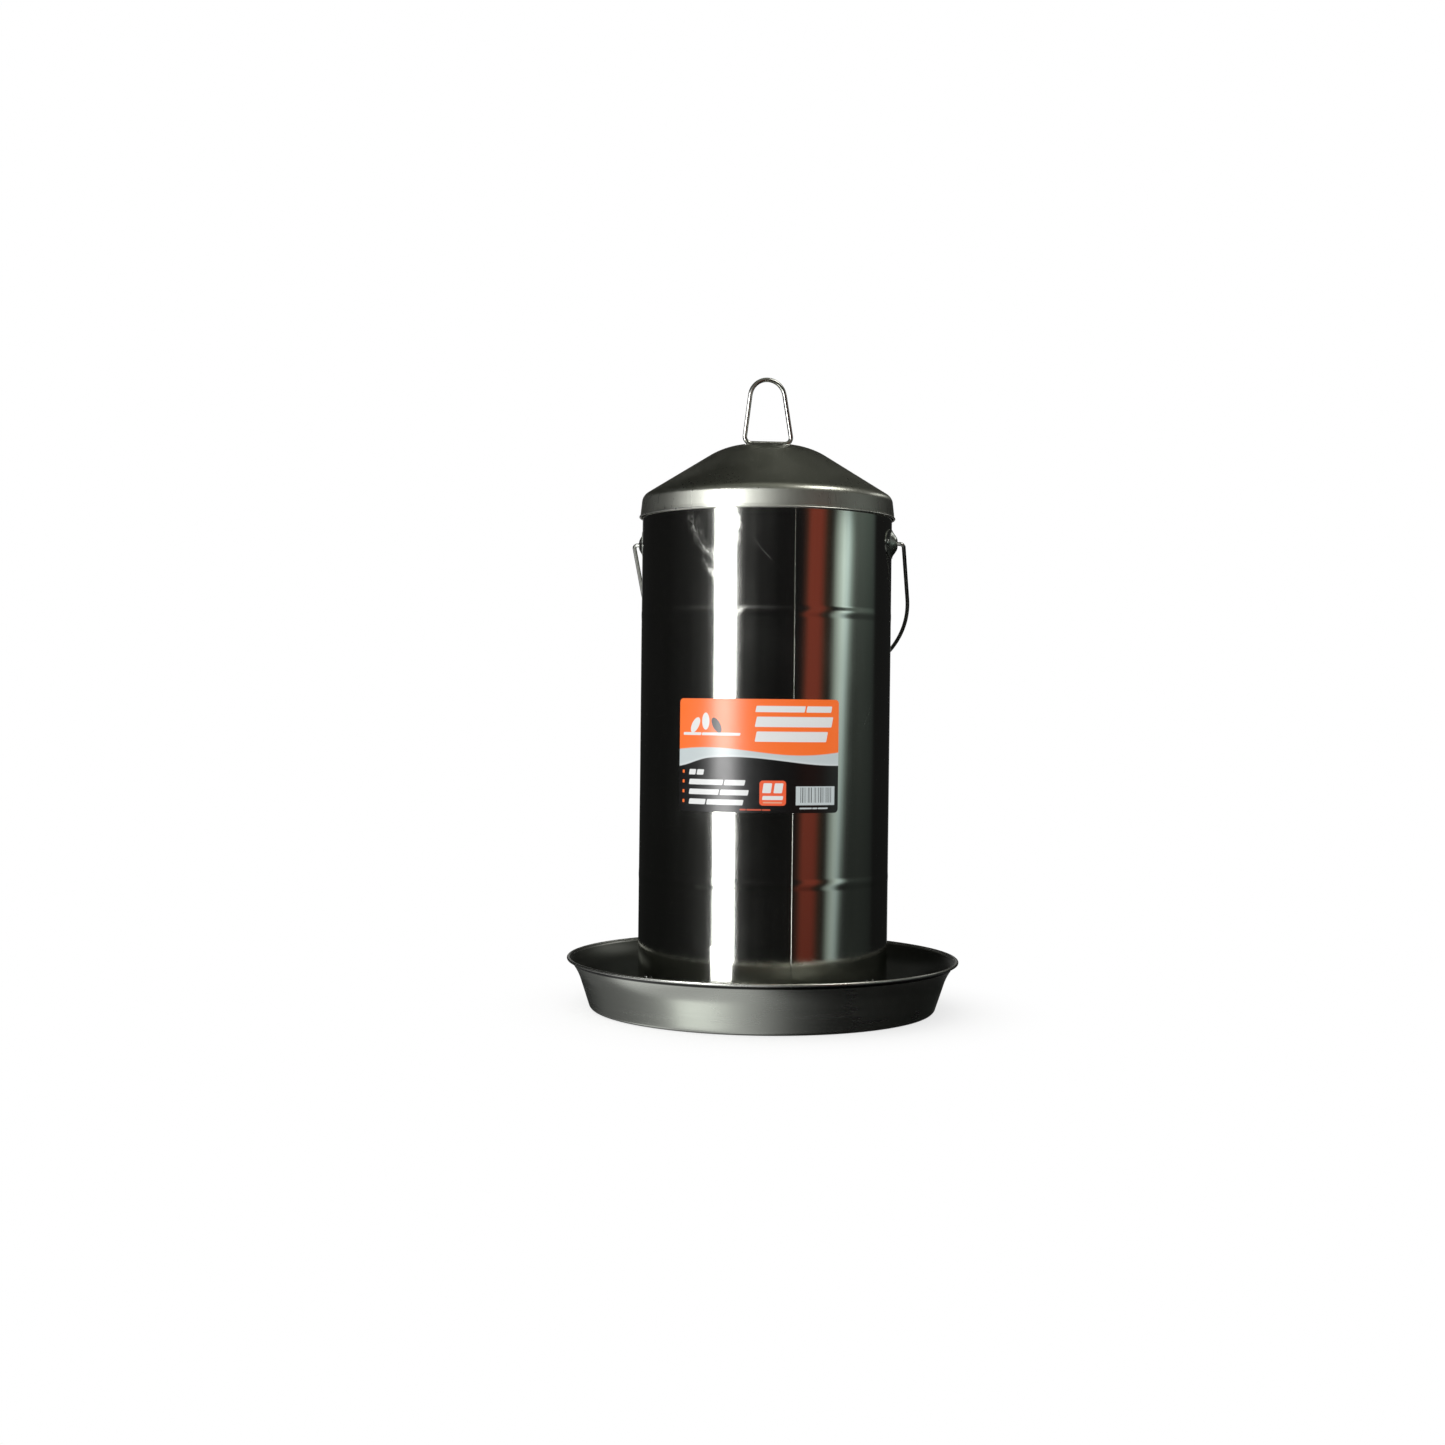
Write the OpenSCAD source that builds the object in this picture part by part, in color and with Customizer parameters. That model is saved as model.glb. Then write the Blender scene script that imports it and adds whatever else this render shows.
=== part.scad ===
// Gravity poultry feeder in stainless sheet. A grain drum stands on three feet over a round pan, so
// grain runs out through the gap under the drum. A conical lid lifts off, and a wire bail swings
// over it. Millimetres, +Z up. The origin is the centre of the pan's underside, the bail turns
// about an axis along X, and the label faces -Y.

/* [Drum] */
// Outside radius of the drum wall
drum_r = 127; // [125:0.5:127.5]
// Height of the drum's lower edge above the ground, which sets the feed gap
drum_bottom = 21.5; // [16:0.5:26]
// Height of the centre of the curled top edge
curl_z = 511.5; // [508:0.1:511.5]
// Thickness of the drum and lid sheet
sheet = 0.6; // [0.5:0.05:0.6]
// Height of the lower stiffening bead
low_bead_z = 136; // [120:1:160]
// Height of the upper stiffening bead
high_bead_z = 399; // [360:1:420]
// Width of a stiffening bead
bead_w = 13; // [10:0.5:16]
// How far a bead stands out of the wall
bead_h = 0.2; // [0.1:0.1:1.2]
// Outside radius of the curl along the top edge
curl_r = 1.8; // [1.4:0.1:1.9]
// Height of the folded hem along the lower edge
hem_h = 8; // [4:0.5:12]
// Angle of the vertical lap seam, from -Y towards +X
seam_turn = 22.2; // [15:0.1:30]
// Angle covered by the overlap at the lap seam
seam_lap = 6; // [4:0.5:8]

/* [Label] */
// Angle of the label's middle, from -Y towards +X
label_turn = 6.6; // [0:0.1:15]
// Angle that the label wraps round the drum
label_wrap = 74.4; // [60:0.1:80]
// Height of the label's lower edge above the ground
label_z = 205.5; // [180:0.5:240]
// Height of the label
label_h = 109; // [80:1:120]
// Corner radius of the label
label_corner = 4; // [2:0.5:8]
// Thickness of the label
label_t = 0.2; // [0.15:0.05:0.4]

/* [Pan] */
// Radius of the pan's flat foot
foot_r = 171.5; // [168:0.5:174]
// Thickness of the pan sheet
pan_sheet = 0.7; // [0.6:0.05:0.9]
// Radius of the bend between the foot and the side
pan_bend = 5.2; // [4:0.1:7]
// Lean of the pan's side from upright
side_lean = 18.2; // [16:0.1:22]
// Height at which the side starts to curve outwards
flare_z = 30; // [26:0.5:34]
// Lean of the side's end from upright
lip_lean = 43; // [36:0.5:46]
// Height of the side's end
lip_z = 50; // [46:0.1:52]
// Radius of the rolled rim
rim_r = 1.5; // [1:0.05:1.6]
// Radius of the raised panel in the pan's floor
panel_r = 150; // [146:0.5:156]
// How far the panel stands above the foot
panel_rise = 3.5; // [3.2:0.1:5]

/* [Lid] */
// Height of the lid's flat crown
crown_z = 573; // [572:0.1:576]
// Radius of the flat crown
crown_r = 20; // [16:0.5:24]
// Radius of the bend between the crown and the cone
crown_bend = 76; // [60:1:80]
// Slope of the lid's cone
lid_slope = 32; // [31.5:0.1:32.2]
// Radius of the bend between the cone and the skirt
shoulder_bend = 10.5; // [9:0.1:11]
// Outside radius of the skirt at its lower end
skirt_r = 129.5; // [129.3:0.1:130.5]
// Height of the skirt's lower end
skirt_z = 498.7; // [496:0.1:500]
// Flare of the skirt from upright
skirt_flare = 6.5; // [5.5:0.1:6.8]
// Radius of the rolled edge on the skirt
skirt_bead = 0.95; // [0.8:0.05:1.1]

/* [Lid loop] */
// Wire diameter of the lid loop
loop_wire = 4.5; // [3.5:0.1:5]
// Height of the loop between wire centres
loop_h = 64.9; // [55:0.1:75]
// Half of the loop's width at the base, where the legs' lines would meet it
loop_half = 25.4; // [22:0.1:28]
// Lean of each leg from upright
loop_taper = 8.4; // [5:0.1:10]
// Radius of the loop's lower corners
loop_corner = 6.5; // [5:0.1:9]
// Turn of the loop's plane from X towards Y
loop_turn = 25; // [0:1:90]
// Sideways lean of the whole loop
loop_tip = 1.3; // [0:0.1:1.5]

/* [Bail] */
// Wire diameter of the bail
bail_wire = 4; // [3.5:0.1:4.5]
// Height of the bail's pivots above the ground
pivot_z = 472.5; // [465:0.5:476]
// Distance from the drum's axis to the bail's straight legs
bail_half = 139.5; // [138.5:0.5:144]
// Drop from the pivot to the end of the straight legs
leg_drop = 70; // [60:1:75]
// Radius of the bail's shoulders
shoulder_r = 118.5; // [116:0.5:122]
// Drop from the pivot to the centre of the crown's arc
crown_drop = 42; // [38:1:44]
// Radius of the bend at the top of each leg
leg_bend = 4; // [3.8:0.1:5]
// Gap between the resting bail and the drum
rest_gap = 0.35; // [0.3:0.05:1]

/* [Ears] */
// Width of an ear
ear_w = 54; // [52:1:60]
// Height of an ear
ear_h = 28; // [27:1:30]
// Thickness of an ear
ear_t = 0.8; // [0.6:0.1:1]
// Radius of the ear's dome at its foot
dome_r = 13; // [12:0.5:13]
// How far the dome's tip stands out from the drum
dome_h = 6.3; // [6:0.1:6.6]
// Distance of each ear rivet from the pivot, round the drum
ear_rivet_reach = 20.5; // [19.5:0.5:21]

/* [Feet and cone] */
// Angle of the first foot, from -Y towards +X
foot_turn = 66.7; // [60:0.1:75]
// Angle that a foot covers
foot_wrap = 9.2; // [8:0.2:12]
// Inner radius of a foot's sole
sole_r = 103; // [101:0.5:106]
// Thickness of a foot
foot_t = 1.5; // [1:0.1:2]
// Height of a foot's top edge above the ground
foot_top = 43; // [41:0.5:50]
// Radius of the circle of foot screws
screw_circle = 112.5; // [111:0.5:114]
// Height of the rivets that hold the feet to the drum
foot_rivet_z = 35.5; // [34:0.5:36]
// Radius of the feed cone's flange
flange_r = 96; // [94:0.5:98]
// Radius of the feed cone at its foot
cone_r = 86; // [84:0.5:86.5]
// Slope of the feed cone
cone_slope = 33; // [28:0.5:38]
// Radius of the feed cone's rounded tip
cone_tip = 14; // [10:0.5:18]

/* [Hidden] */
$fn = 96;

FEET = 3;
CONE_RIVETS = 3;
SKIN_GAP = 0.02;      // gap between two sheets that lie on each other round the drum
FIT_GAP = 0.05;       // gap round a rivet's shank in its hole
PIVOT_GAP = 0.08;     // gap round the bail's pins in the ears
ARC_STEPS = 8;
BEAD_STEPS = 6;
SEAM_LINE = 0.45;     // side of the square groove along the seam, set on its edge
EAR_SWEEP = 60;       // angle of the ring that an ear is cut from
WIRE_SEAT = 0.2;      // how far one stretch of a bent wire runs inside the next
WIRE_SLIM = 0.02;     // how much thinner that stretch is, so that it ends inside the next

rivet_r = 2;
rivet_head_r = 3.6;
rivet_head_h = 1.5;
rivet_tail_h = 1;
foot_rivet_spread = 2.6;
cone_rivet_r = 1.6;
cone_rivet_circle = 91;
screw_r = 2.5;
screw_head_r = 4.75;
screw_head_h = 2.6;
screw_end = 13;
screw_hole_r = 2.75;
washer_r = 5;
washer_t = 1;
nut_r = 4.6;
nut_h = 4;
foot_bend = 3;
head_r = 3.5;
head_in = 2.2;        // distance from the drum wall to the inner face of the bail's heads
head_t = 1.6;
dome_tip_r = 4.8;

steel = [0.72, 0.73, 0.71];
dark_steel = [0.52, 0.53, 0.52];
wire_steel = [0.62, 0.63, 0.62];
label_orange = [0.95, 0.36, 0.12];

bead_heights = [low_bead_z, high_bead_z];
floor_z = panel_rise + pan_sheet;
foot_inner_turn = foot_turn - 90;
drum_inner = drum_r - sheet;
ear_outer = drum_r + SKIN_GAP + ear_t;
ear_rivet_turn = ear_rivet_reach / drum_r * 180 / PI;
sole_z = floor_z + foot_t;

// Points on an arc about c with radius r, from angle a to angle b
function arc(c, r, a, b) =
    [for (i = [0:ARC_STEPS]) let (t = a + (b - a) * i / ARC_STEPS) c + r * [cos(t), sin(t)]];

// The same list of points from its other end
function back(points) = [for (i = [len(points) - 1:-1:0]) points[i]];

// How far the drum wall stands out at height z
function bulge(z) = max([for (b = bead_heights)
    abs(z - b) < bead_w / 2 ? bead_h / 2 * (1 + cos(360 * (z - b) / bead_w)) : 0]);

// Heights at which the drum wall's outline has a point
function wall_heights(low, high) = concat([low],
    [for (b = bead_heights) for (i = [-BEAD_STEPS:BEAD_STEPS]) b + i * bead_w / 2 / BEAD_STEPS], [high]);

// One side of the drum wall, inset from its outer face
function wall_side(inset, low, high) =
    [for (z = wall_heights(low, high)) [drum_r - inset + bulge(z), z]];

// A layer of drum wall, as a closed outline
module wall_outline(inset, low, high) {
    polygon(concat(wall_side(inset, low, high), back(wall_side(inset + sheet, low, high))));
}

// A cylinder that points out of the drum at a height and at an angle from +X
module radial_pin(turn, z, r, from, to) {
    rotate([0, 0, turn])
        translate([from, 0, z])
            rotate([0, 90, 0])
                cylinder(r = r, h = to - from);
}

// A shallow round cap, flat side down
module cap(r, h) {
    ball = (r * r + h * h) / (2 * h);
    intersection() {
        translate([0, 0, h - ball])
            sphere(r = ball);
        cylinder(r = r, h = h);
    }
}

// A rivet along +Z whose sheets lie between 0 and grip, domed head on top and upset tail below
module rivet(r, grip, head, rise, tail) {
    translate([0, 0, -tail])
        cylinder(r = head * 0.9, h = tail);
    cylinder(r = r, h = grip);
    translate([0, 0, grip])
        cap(head, rise);
}

// The drum's rivet places, as [turn, height] pairs
function ear_rivet_places() =
    [for (side = [0, 180]) for (way = [-1, 1]) [side + way * ear_rivet_turn, pivot_z]];
function foot_rivet_places() =
    [for (i = [0:FEET - 1]) for (way = [-1, 1])
        [foot_inner_turn + i * 360 / FEET + way * foot_rivet_spread, foot_rivet_z]];

// The curl's section, open towards the inside of the drum
module curl_outline() {
    curl_x = drum_r - 0.1 - curl_r;
    difference() {
        translate([curl_x, curl_z])
            circle(r = curl_r);
        translate([curl_x, curl_z])
            circle(r = curl_r - sheet);
        translate([curl_x - curl_r, curl_z - curl_r])
            square([curl_r, curl_r * 0.8]);
    }
}

// Stretches of plain wall between the hem, the beads and the curl, as [low, high] pairs
function plain_stretches() =
    let (ends = concat([drum_bottom + hem_h], bead_heights, [curl_z]))
    [for (i = [0:len(ends) - 2]) [ends[i] + bead_w, ends[i + 1] - bead_w]];

// A shallow groove in the drum wall, where the outer sheet's edge lies on the inner sheet
module seam_groove(low, high) {
    rotate([0, 0, seam_turn - 90])
        translate([drum_r, 0, low])
            rotate([0, 0, 45])
                translate([-SEAM_LINE / 2, -SEAM_LINE / 2, 0])
                    cube([SEAM_LINE, SEAM_LINE, high - low]);
}

module drum_shell() {
    color(steel)
    difference() {
        union() {
            rotate_extrude($fn = 240) {
                wall_outline(0, drum_bottom, curl_z);
                curl_outline();
                translate([drum_inner - sheet, drum_bottom])
                    square([sheet * 1.5, hem_h]);
            }
            rotate([0, 0, seam_turn - 90])
                rotate_extrude(angle = seam_lap, $fn = 240)
                    wall_outline(sheet * 0.95, drum_bottom + hem_h + 4, curl_z - 8);
        }
        for (stretch = plain_stretches())
            seam_groove(stretch[0], stretch[1]);
        for (place = concat(ear_rivet_places(), foot_rivet_places()))
            radial_pin(place[0], place[1], rivet_r + FIT_GAP, drum_inner - 3, drum_r + 3);
    }
}

// A block along +X, with a rounded oblong section of width w and height h on the XY plane
module rounded_block(w, h, corner, length) {
    translate([0, -w / 2 + corner, 0])
        cube([length, w - corner * 2, h]);
    translate([0, -w / 2, corner])
        cube([length, w, h - corner * 2]);
    for (across = [-1, 1], up = [corner, h - corner])
        translate([0, across * (w / 2 - corner), up])
            rotate([0, 90, 0])
                cylinder(r = corner, h = length);
}

module label() {
    color(label_orange)
    rotate([0, 0, label_turn - 90])
    intersection() {
        translate([0, 0, label_z])
            rounded_block(drum_r * sin(label_wrap / 2) * 2, label_h, label_corner, drum_r * 1.5);
        rotate([0, 0, -label_wrap / 2 - 5])
            rotate_extrude(angle = label_wrap + 10, $fn = 720)
                translate([drum_r + SKIN_GAP, label_z - 5])
                    square([label_t, label_h + 10]);
    }
}

// A cone along +X on the pivot axis
module pivot_cone(from, r_from, to, r_to) {
    translate([from, 0, pivot_z])
        rotate([0, 90, 0])
            cylinder(r1 = r_from, r2 = r_to, h = to - from);
}

// An ear's flat part, following the drum's curve, with its two rivet holes
module ear_plate() {
    difference() {
        intersection() {
            translate([drum_r - 10, 0, pivot_z - ear_h / 2])
                rounded_block(ear_w, ear_h, ear_h / 2 - 0.5, 20);
            rotate([0, 0, -EAR_SWEEP / 2])
                rotate_extrude(angle = EAR_SWEEP, $fn = 720)
                    translate([drum_r + SKIN_GAP, pivot_z - ear_h])
                        square([ear_t, ear_h * 2]);
        }
        for (way = [-1, 1])
            radial_pin(way * ear_rivet_turn, pivot_z, rivet_r + FIT_GAP, drum_r - 5, drum_r + 5);
    }
}

module ear() {
    tip = drum_r + dome_h;
    lean = (dome_r - dome_tip_r) / dome_h;
    difference() {
        union() {
            ear_plate();
            difference() {
                pivot_cone(drum_r - 1, dome_r + lean, tip, dome_tip_r);
                rotate([0, 0, 180])
                    translate([0, 0, pivot_z - ear_h])
                        cylinder(r = drum_r + SKIN_GAP, h = ear_h * 2, $fn = 720);
            }
        }
        pivot_cone(drum_r - 2, dome_r + lean * 2 - ear_t * 1.4, tip - ear_t, dome_tip_r - ear_t * 0.4);
        radial_pin(0, pivot_z, bail_wire / 2 + PIVOT_GAP, drum_r, tip + 1);
    }
}

module ear_right() {
    color(steel)
        ear();
}

module ear_left() {
    color(steel)
        mirror([1, 0, 0])
            ear();
}

// A rivet through the drum wall, tail inside and head outside
module wall_rivet(place, inner, outer) {
    rotate([0, 0, place[0]])
        translate([inner, 0, place[1]])
            rotate([0, 90, 0])
                rivet(rivet_r, outer - inner, rivet_head_r, rivet_head_h, rivet_tail_h);
}

module ear_rivets() {
    color(wire_steel)
        for (place = ear_rivet_places())
            wall_rivet(place, drum_inner - 0.07, ear_outer + SKIN_GAP);
}

// A straight length of wire along +X, from the origin
module wire_run(r, length) {
    rotate([0, 90, 0])
        cylinder(r = r, h = length);
}

// A bent length of wire in the XY plane, turning about the origin from angle a to angle b
module wire_bend(r, bend, a, b) {
    rotate([0, 0, a])
        rotate_extrude(angle = b - a)
            translate([bend, 0])
                circle(r = r);
}

// How far the crown's centre lies from the shoulder's centre, along X and down
function crown_offset() = [bail_half - shoulder_r, leg_drop - crown_drop];

// One leg of the bail with its pin and shoulder, in the XY plane, with -Y as down
module bail_side() {
    r = bail_wire / 2;
    join = atan2(crown_offset()[1], crown_offset()[0]);
    head_x = drum_r + head_in;
    translate([head_x, 0, 0])
        wire_run(head_r, head_t);
    translate([head_x, 0, 0])
        wire_run(r, bail_half - leg_bend - head_x);
    translate([bail_half - leg_bend, -leg_bend, 0])
        wire_bend(r, leg_bend, 0, 90);
    translate([bail_half, WIRE_SEAT - leg_bend, 0])
        rotate([0, 0, -90])
            wire_run(r - WIRE_SLIM, leg_drop - leg_bend + WIRE_SEAT * 2);
    translate([crown_offset()[0], -leg_drop, 0])
        wire_bend(r, shoulder_r, -join, 0);
}

// The bail's crown, whose ends run a little way inside the shoulders' wire
module bail_crown() {
    join = atan2(crown_offset()[1], crown_offset()[0]);
    bend = shoulder_r + norm(crown_offset());
    seat = WIRE_SEAT / bend * 180 / PI;
    translate([0, -crown_drop, 0])
        wire_bend(bail_wire / 2 - WIRE_SLIM, bend, join - 180 - seat, seat - join);
}

module bail() {
    reach = crown_drop + shoulder_r + norm(crown_offset());
    lean = asin((drum_r + bail_wire / 2 + rest_gap) / reach);
    color(wire_steel)
        translate([0, 0, pivot_z])
            rotate([90 + lean, 0, 0]) {
                bail_side();
                mirror([1, 0, 0])
                    bail_side();
                bail_crown();
            }
}

// One side of the pan's sheet, inset from its outer face. The last point is at the rim.
function pan_side(inset) =
    let (
        start = [foot_r, pan_bend] + pan_bend * [cos(side_lean), -sin(side_lean)],
        bend = [start[0] + (flare_z - start[1]) * tan(side_lean), flare_z],
        flare_r = (lip_z - flare_z) / (sin(lip_lean) - sin(side_lean))
    )
    concat([[0, panel_rise + inset], [panel_r - panel_rise, panel_rise + inset], [panel_r, inset]],
        arc([foot_r, pan_bend], pan_bend - inset, -90, -side_lean),
        arc(bend + flare_r * [cos(side_lean), -sin(side_lean)], flare_r + inset,
            180 - side_lean, 180 - lip_lean));

module pan() {
    middle = pan_side(pan_sheet / 2);
    lip = middle[len(middle) - 1];
    color(dark_steel)
    difference() {
        rotate_extrude() {
            polygon(concat(pan_side(0), back(pan_side(pan_sheet))));
            translate(lip + rim_r * [0.7, 0.3])
                circle(r = rim_r);
        }
        for (i = [0:FEET - 1])
            rotate([0, 0, foot_inner_turn + i * 360 / FEET])
                translate([screw_circle, 0, -1])
                    cylinder(r = screw_hole_r, h = floor_z + 2);
        for (i = [0:CONE_RIVETS - 1])
            rotate([0, 0, i * 360 / CONE_RIVETS + 90])
                translate([cone_rivet_circle, 0, -1])
                    cylinder(r = cone_rivet_r + FIT_GAP, h = floor_z + 2);
    }
}

// One side of the feed cone's sheet, inset from its outer face
function cone_side(inset) =
    let (
        top = floor_z + sheet,
        tip_z = top + (cone_r - cone_tip * sin(cone_slope)) * tan(cone_slope) - cone_tip * cos(cone_slope)
    )
    concat([[flange_r, top - inset], [cone_r - inset * tan(cone_slope / 2), top - inset]],
        arc([0, tip_z], cone_tip - inset, 90 - cone_slope, 90));

module feed_cone() {
    color(steel)
    difference() {
        rotate_extrude()
            polygon(concat(cone_side(0), back(cone_side(sheet))));
        for (i = [0:CONE_RIVETS - 1])
            rotate([0, 0, i * 360 / CONE_RIVETS + 90])
                translate([cone_rivet_circle, 0, floor_z - 1])
                    cylinder(r = cone_rivet_r + FIT_GAP, h = sheet + 2);
    }
}

module cone_rivets() {
    color(wire_steel)
        for (i = [0:CONE_RIVETS - 1])
            rotate([0, 0, i * 360 / CONE_RIVETS + 90])
                translate([cone_rivet_circle, 0, panel_rise])
                    rivet(cone_rivet_r, pan_sheet + sheet, 2.9, 1.2, 1);
}

// Section of a bent foot: a sole on the pan and a leg up the inside of the drum
function foot_outline(outer) =
    concat([[sole_r, floor_z]],
        arc([outer - foot_bend, floor_z + foot_bend], foot_bend, -90, 0),
        [[outer, foot_top], [outer - foot_t, foot_top]],
        back(arc([outer - foot_bend, floor_z + foot_bend], foot_bend - foot_t + 0.5, -90, 0)),
        [[sole_r, sole_z]]);

module bracket(index) {
    // The folded hem stands between the foot and the wall, so the foot sits just inside it
    outer = drum_inner - sheet - SKIN_GAP;
    color(steel)
    rotate([0, 0, foot_inner_turn + index * 360 / FEET])
    difference() {
        rotate([0, 0, -foot_wrap / 2])
            rotate_extrude(angle = foot_wrap)
                polygon(foot_outline(outer));
        translate([screw_circle, 0, floor_z - 1])
            cylinder(r = screw_hole_r, h = foot_t + 2);
        for (way = [-1, 1])
            radial_pin(way * foot_rivet_spread, foot_rivet_z, rivet_r + FIT_GAP, outer - 4, outer + 2);
    }
}

module bracket_1() {
    bracket(0);
}

module bracket_2() {
    bracket(1);
}

module bracket_3() {
    bracket(2);
}

module bracket_rivets() {
    color(wire_steel)
        for (place = foot_rivet_places())
            wall_rivet(place, drum_inner - sheet - foot_t - 0.09, drum_r + SKIN_GAP);
}

// Puts its children at each foot screw
module at_screws() {
    for (i = [0:FEET - 1])
        rotate([0, 0, foot_inner_turn + i * 360 / FEET])
            translate([screw_circle, 0, 0])
                children();
}

module foot_screws() {
    color(wire_steel)
        at_screws() {
            translate([0, 0, panel_rise])
                mirror([0, 0, 1])
                    cap(screw_head_r, screw_head_h);
            translate([0, 0, panel_rise])
                cylinder(r = screw_r, h = screw_end - panel_rise);
        }
}

module foot_washers() {
    color(wire_steel)
        at_screws()
            difference() {
                translate([0, 0, sole_z])
                    cylinder(r = washer_r, h = washer_t);
                translate([0, 0, sole_z - 1])
                    cylinder(r = screw_hole_r, h = washer_t + 2);
            }
}

module foot_nuts() {
    color(wire_steel)
        at_screws()
            difference() {
                translate([0, 0, sole_z + washer_t])
                    cylinder(r = nut_r, h = nut_h, $fn = 6);
                translate([0, 0, sole_z])
                    cylinder(r = screw_r + SKIN_GAP, h = nut_h + 3);
            }
}

// One side of the lid's sheet, inset from its outer face. The shoulder's centre lies one bend
// radius inside both the cone and the skirt.
function lid_side(inset) =
    let (
        cone_start = [crown_r, crown_z - crown_bend] + crown_bend * [sin(lid_slope), cos(lid_slope)],
        off_skirt = skirt_r * cos(skirt_flare) + skirt_z * sin(skirt_flare) - shoulder_bend,
        off_cone = cone_start * [sin(lid_slope), cos(lid_slope)] - shoulder_bend,
        spread = cos(lid_slope + skirt_flare),
        centre = [(off_skirt * cos(lid_slope) - off_cone * sin(skirt_flare)) / spread,
            (off_cone * cos(skirt_flare) - off_skirt * sin(lid_slope)) / spread]
    )
    concat([[0, crown_z - inset]],
        arc([crown_r, crown_z - crown_bend], crown_bend - inset, 90, 90 - lid_slope),
        arc(centre, shoulder_bend - inset, 90 - lid_slope, skirt_flare),
        [[skirt_r, skirt_z] - inset * [cos(skirt_flare), sin(skirt_flare)]]);

module lid_shell() {
    color(dark_steel) {
        rotate_extrude()
            polygon(concat(lid_side(0), back(lid_side(sheet))));
        rotate_extrude()
            translate([skirt_r - 0.1, skirt_z])
                circle(r = skirt_bead);
    }
}

// The lid loop in the XY plane, standing on X with +Y up: a base, two corners, two legs and a top
module loop_wire_form() {
    r = loop_wire / 2;
    c = cos(loop_taper);
    t = tan(loop_taper);
    top_r = (loop_half - t * loop_h) / (1 / c - t);
    top_y = loop_h - top_r;
    // The corner's centre is one corner radius from the base and from the leg
    corner_x = loop_half - t * loop_corner - loop_corner / c;
    leg_foot = [corner_x, loop_corner] + loop_corner * [c, sin(loop_taper)];
    leg_top = [0, top_y] + top_r * [c, sin(loop_taper)];
    translate([-corner_x, 0, 0])
        wire_run(r, corner_x * 2);
    translate([0, top_y, 0])
        wire_bend(r, top_r, loop_taper, 180 - loop_taper);
    for (way = [0, 1])
        mirror([way, 0, 0]) {
            translate([corner_x, loop_corner, 0])
                wire_bend(r, loop_corner, -90, loop_taper);
            translate([leg_foot[0], leg_foot[1], 0])
                rotate([0, 0, 90 + loop_taper])
                    translate([-WIRE_SEAT, 0, 0])
                        wire_run(r - WIRE_SLIM, norm(leg_top - leg_foot) + WIRE_SEAT * 2);
        }
}

module lid_loop() {
    lift = loop_wire / 2 + loop_half * sin(loop_tip) * 0.7;
    color(wire_steel)
        translate([0, 0, crown_z + lift])
            rotate([90, 0, loop_turn])
                rotate([0, 0, loop_tip])
                    loop_wire_form();
}

pan();
feed_cone();
cone_rivets();
drum_shell();
label();
ear_left();
ear_right();
ear_rivets();
bail();
bracket_1();
bracket_2();
bracket_3();
bracket_rivets();
foot_screws();
foot_washers();
foot_nuts();
lid_shell();
lid_loop();
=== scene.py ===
import math
import random

import bmesh
import bpy
from mathutils import Matrix, Vector, noise


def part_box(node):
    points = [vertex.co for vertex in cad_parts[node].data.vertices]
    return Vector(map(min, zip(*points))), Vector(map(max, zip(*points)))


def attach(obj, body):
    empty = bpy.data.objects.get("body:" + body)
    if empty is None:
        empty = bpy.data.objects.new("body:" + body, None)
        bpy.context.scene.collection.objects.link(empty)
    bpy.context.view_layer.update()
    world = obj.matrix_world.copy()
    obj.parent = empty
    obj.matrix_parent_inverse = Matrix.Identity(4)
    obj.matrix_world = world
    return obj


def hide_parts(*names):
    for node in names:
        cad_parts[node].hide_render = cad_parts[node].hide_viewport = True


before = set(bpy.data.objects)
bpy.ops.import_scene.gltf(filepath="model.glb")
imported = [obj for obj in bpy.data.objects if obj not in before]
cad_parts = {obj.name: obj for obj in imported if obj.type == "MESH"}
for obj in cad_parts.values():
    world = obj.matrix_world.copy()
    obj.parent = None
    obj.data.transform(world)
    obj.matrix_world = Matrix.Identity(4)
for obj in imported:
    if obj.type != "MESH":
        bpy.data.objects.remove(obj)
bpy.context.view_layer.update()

# Gravity poultry feeder. Metres, in the frame's own axes: +Z up along the drum, the label towards -Y and
# the bail's pivots along X. Sheet parts are turned and pressed here from the same measures as the frame.

MM = 0.001


# ---- measures

def low(node):
    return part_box(node)[0]


def high(node):
    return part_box(node)[1]


SHEET = 0.6 * MM
BEAD_H = 0.2 * MM
BEAD_W = 13 * MM
LOW_BEAD_Z = 136 * MM
HIGH_BEAD_Z = 399 * MM
CURL_R = 1.8 * MM
HEM_H = 8 * MM
DRUM_R = high("drum_shell").x - BEAD_H
DRUM_BOTTOM = low("drum_shell").z
DRUM_TOP = high("drum_shell").z
SEAM_TURN = math.radians(22.2)
SEAM_DEPTH = 0.18 * MM
SEAM_HALF = 0.42 * MM

LABEL_T = 0.2 * MM
LABEL_GAP = 0.02 * MM
LABEL_TURN = math.radians(6.6)
LABEL_LOW = low("label").z
LABEL_HIGH = high("label").z
LABEL_W = DRUM_R * math.radians(74.4)
LABEL_CORNER = 4 * MM

PAN_SHEET = 0.7 * MM
PAN_FOOT_R = 171.5 * MM
PAN_BEND = 5.2 * MM
PAN_LEAN = math.radians(18.2)
PAN_LIP_LEAN = math.radians(43)
PAN_FLARE_Z = 30 * MM
PAN_LIP_Z = 50 * MM
PAN_RIM_R = 1.5 * MM
PANEL_R = 150 * MM
PANEL_RISE = 3.5 * MM
FLOOR_Z = PANEL_RISE + PAN_SHEET

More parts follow.
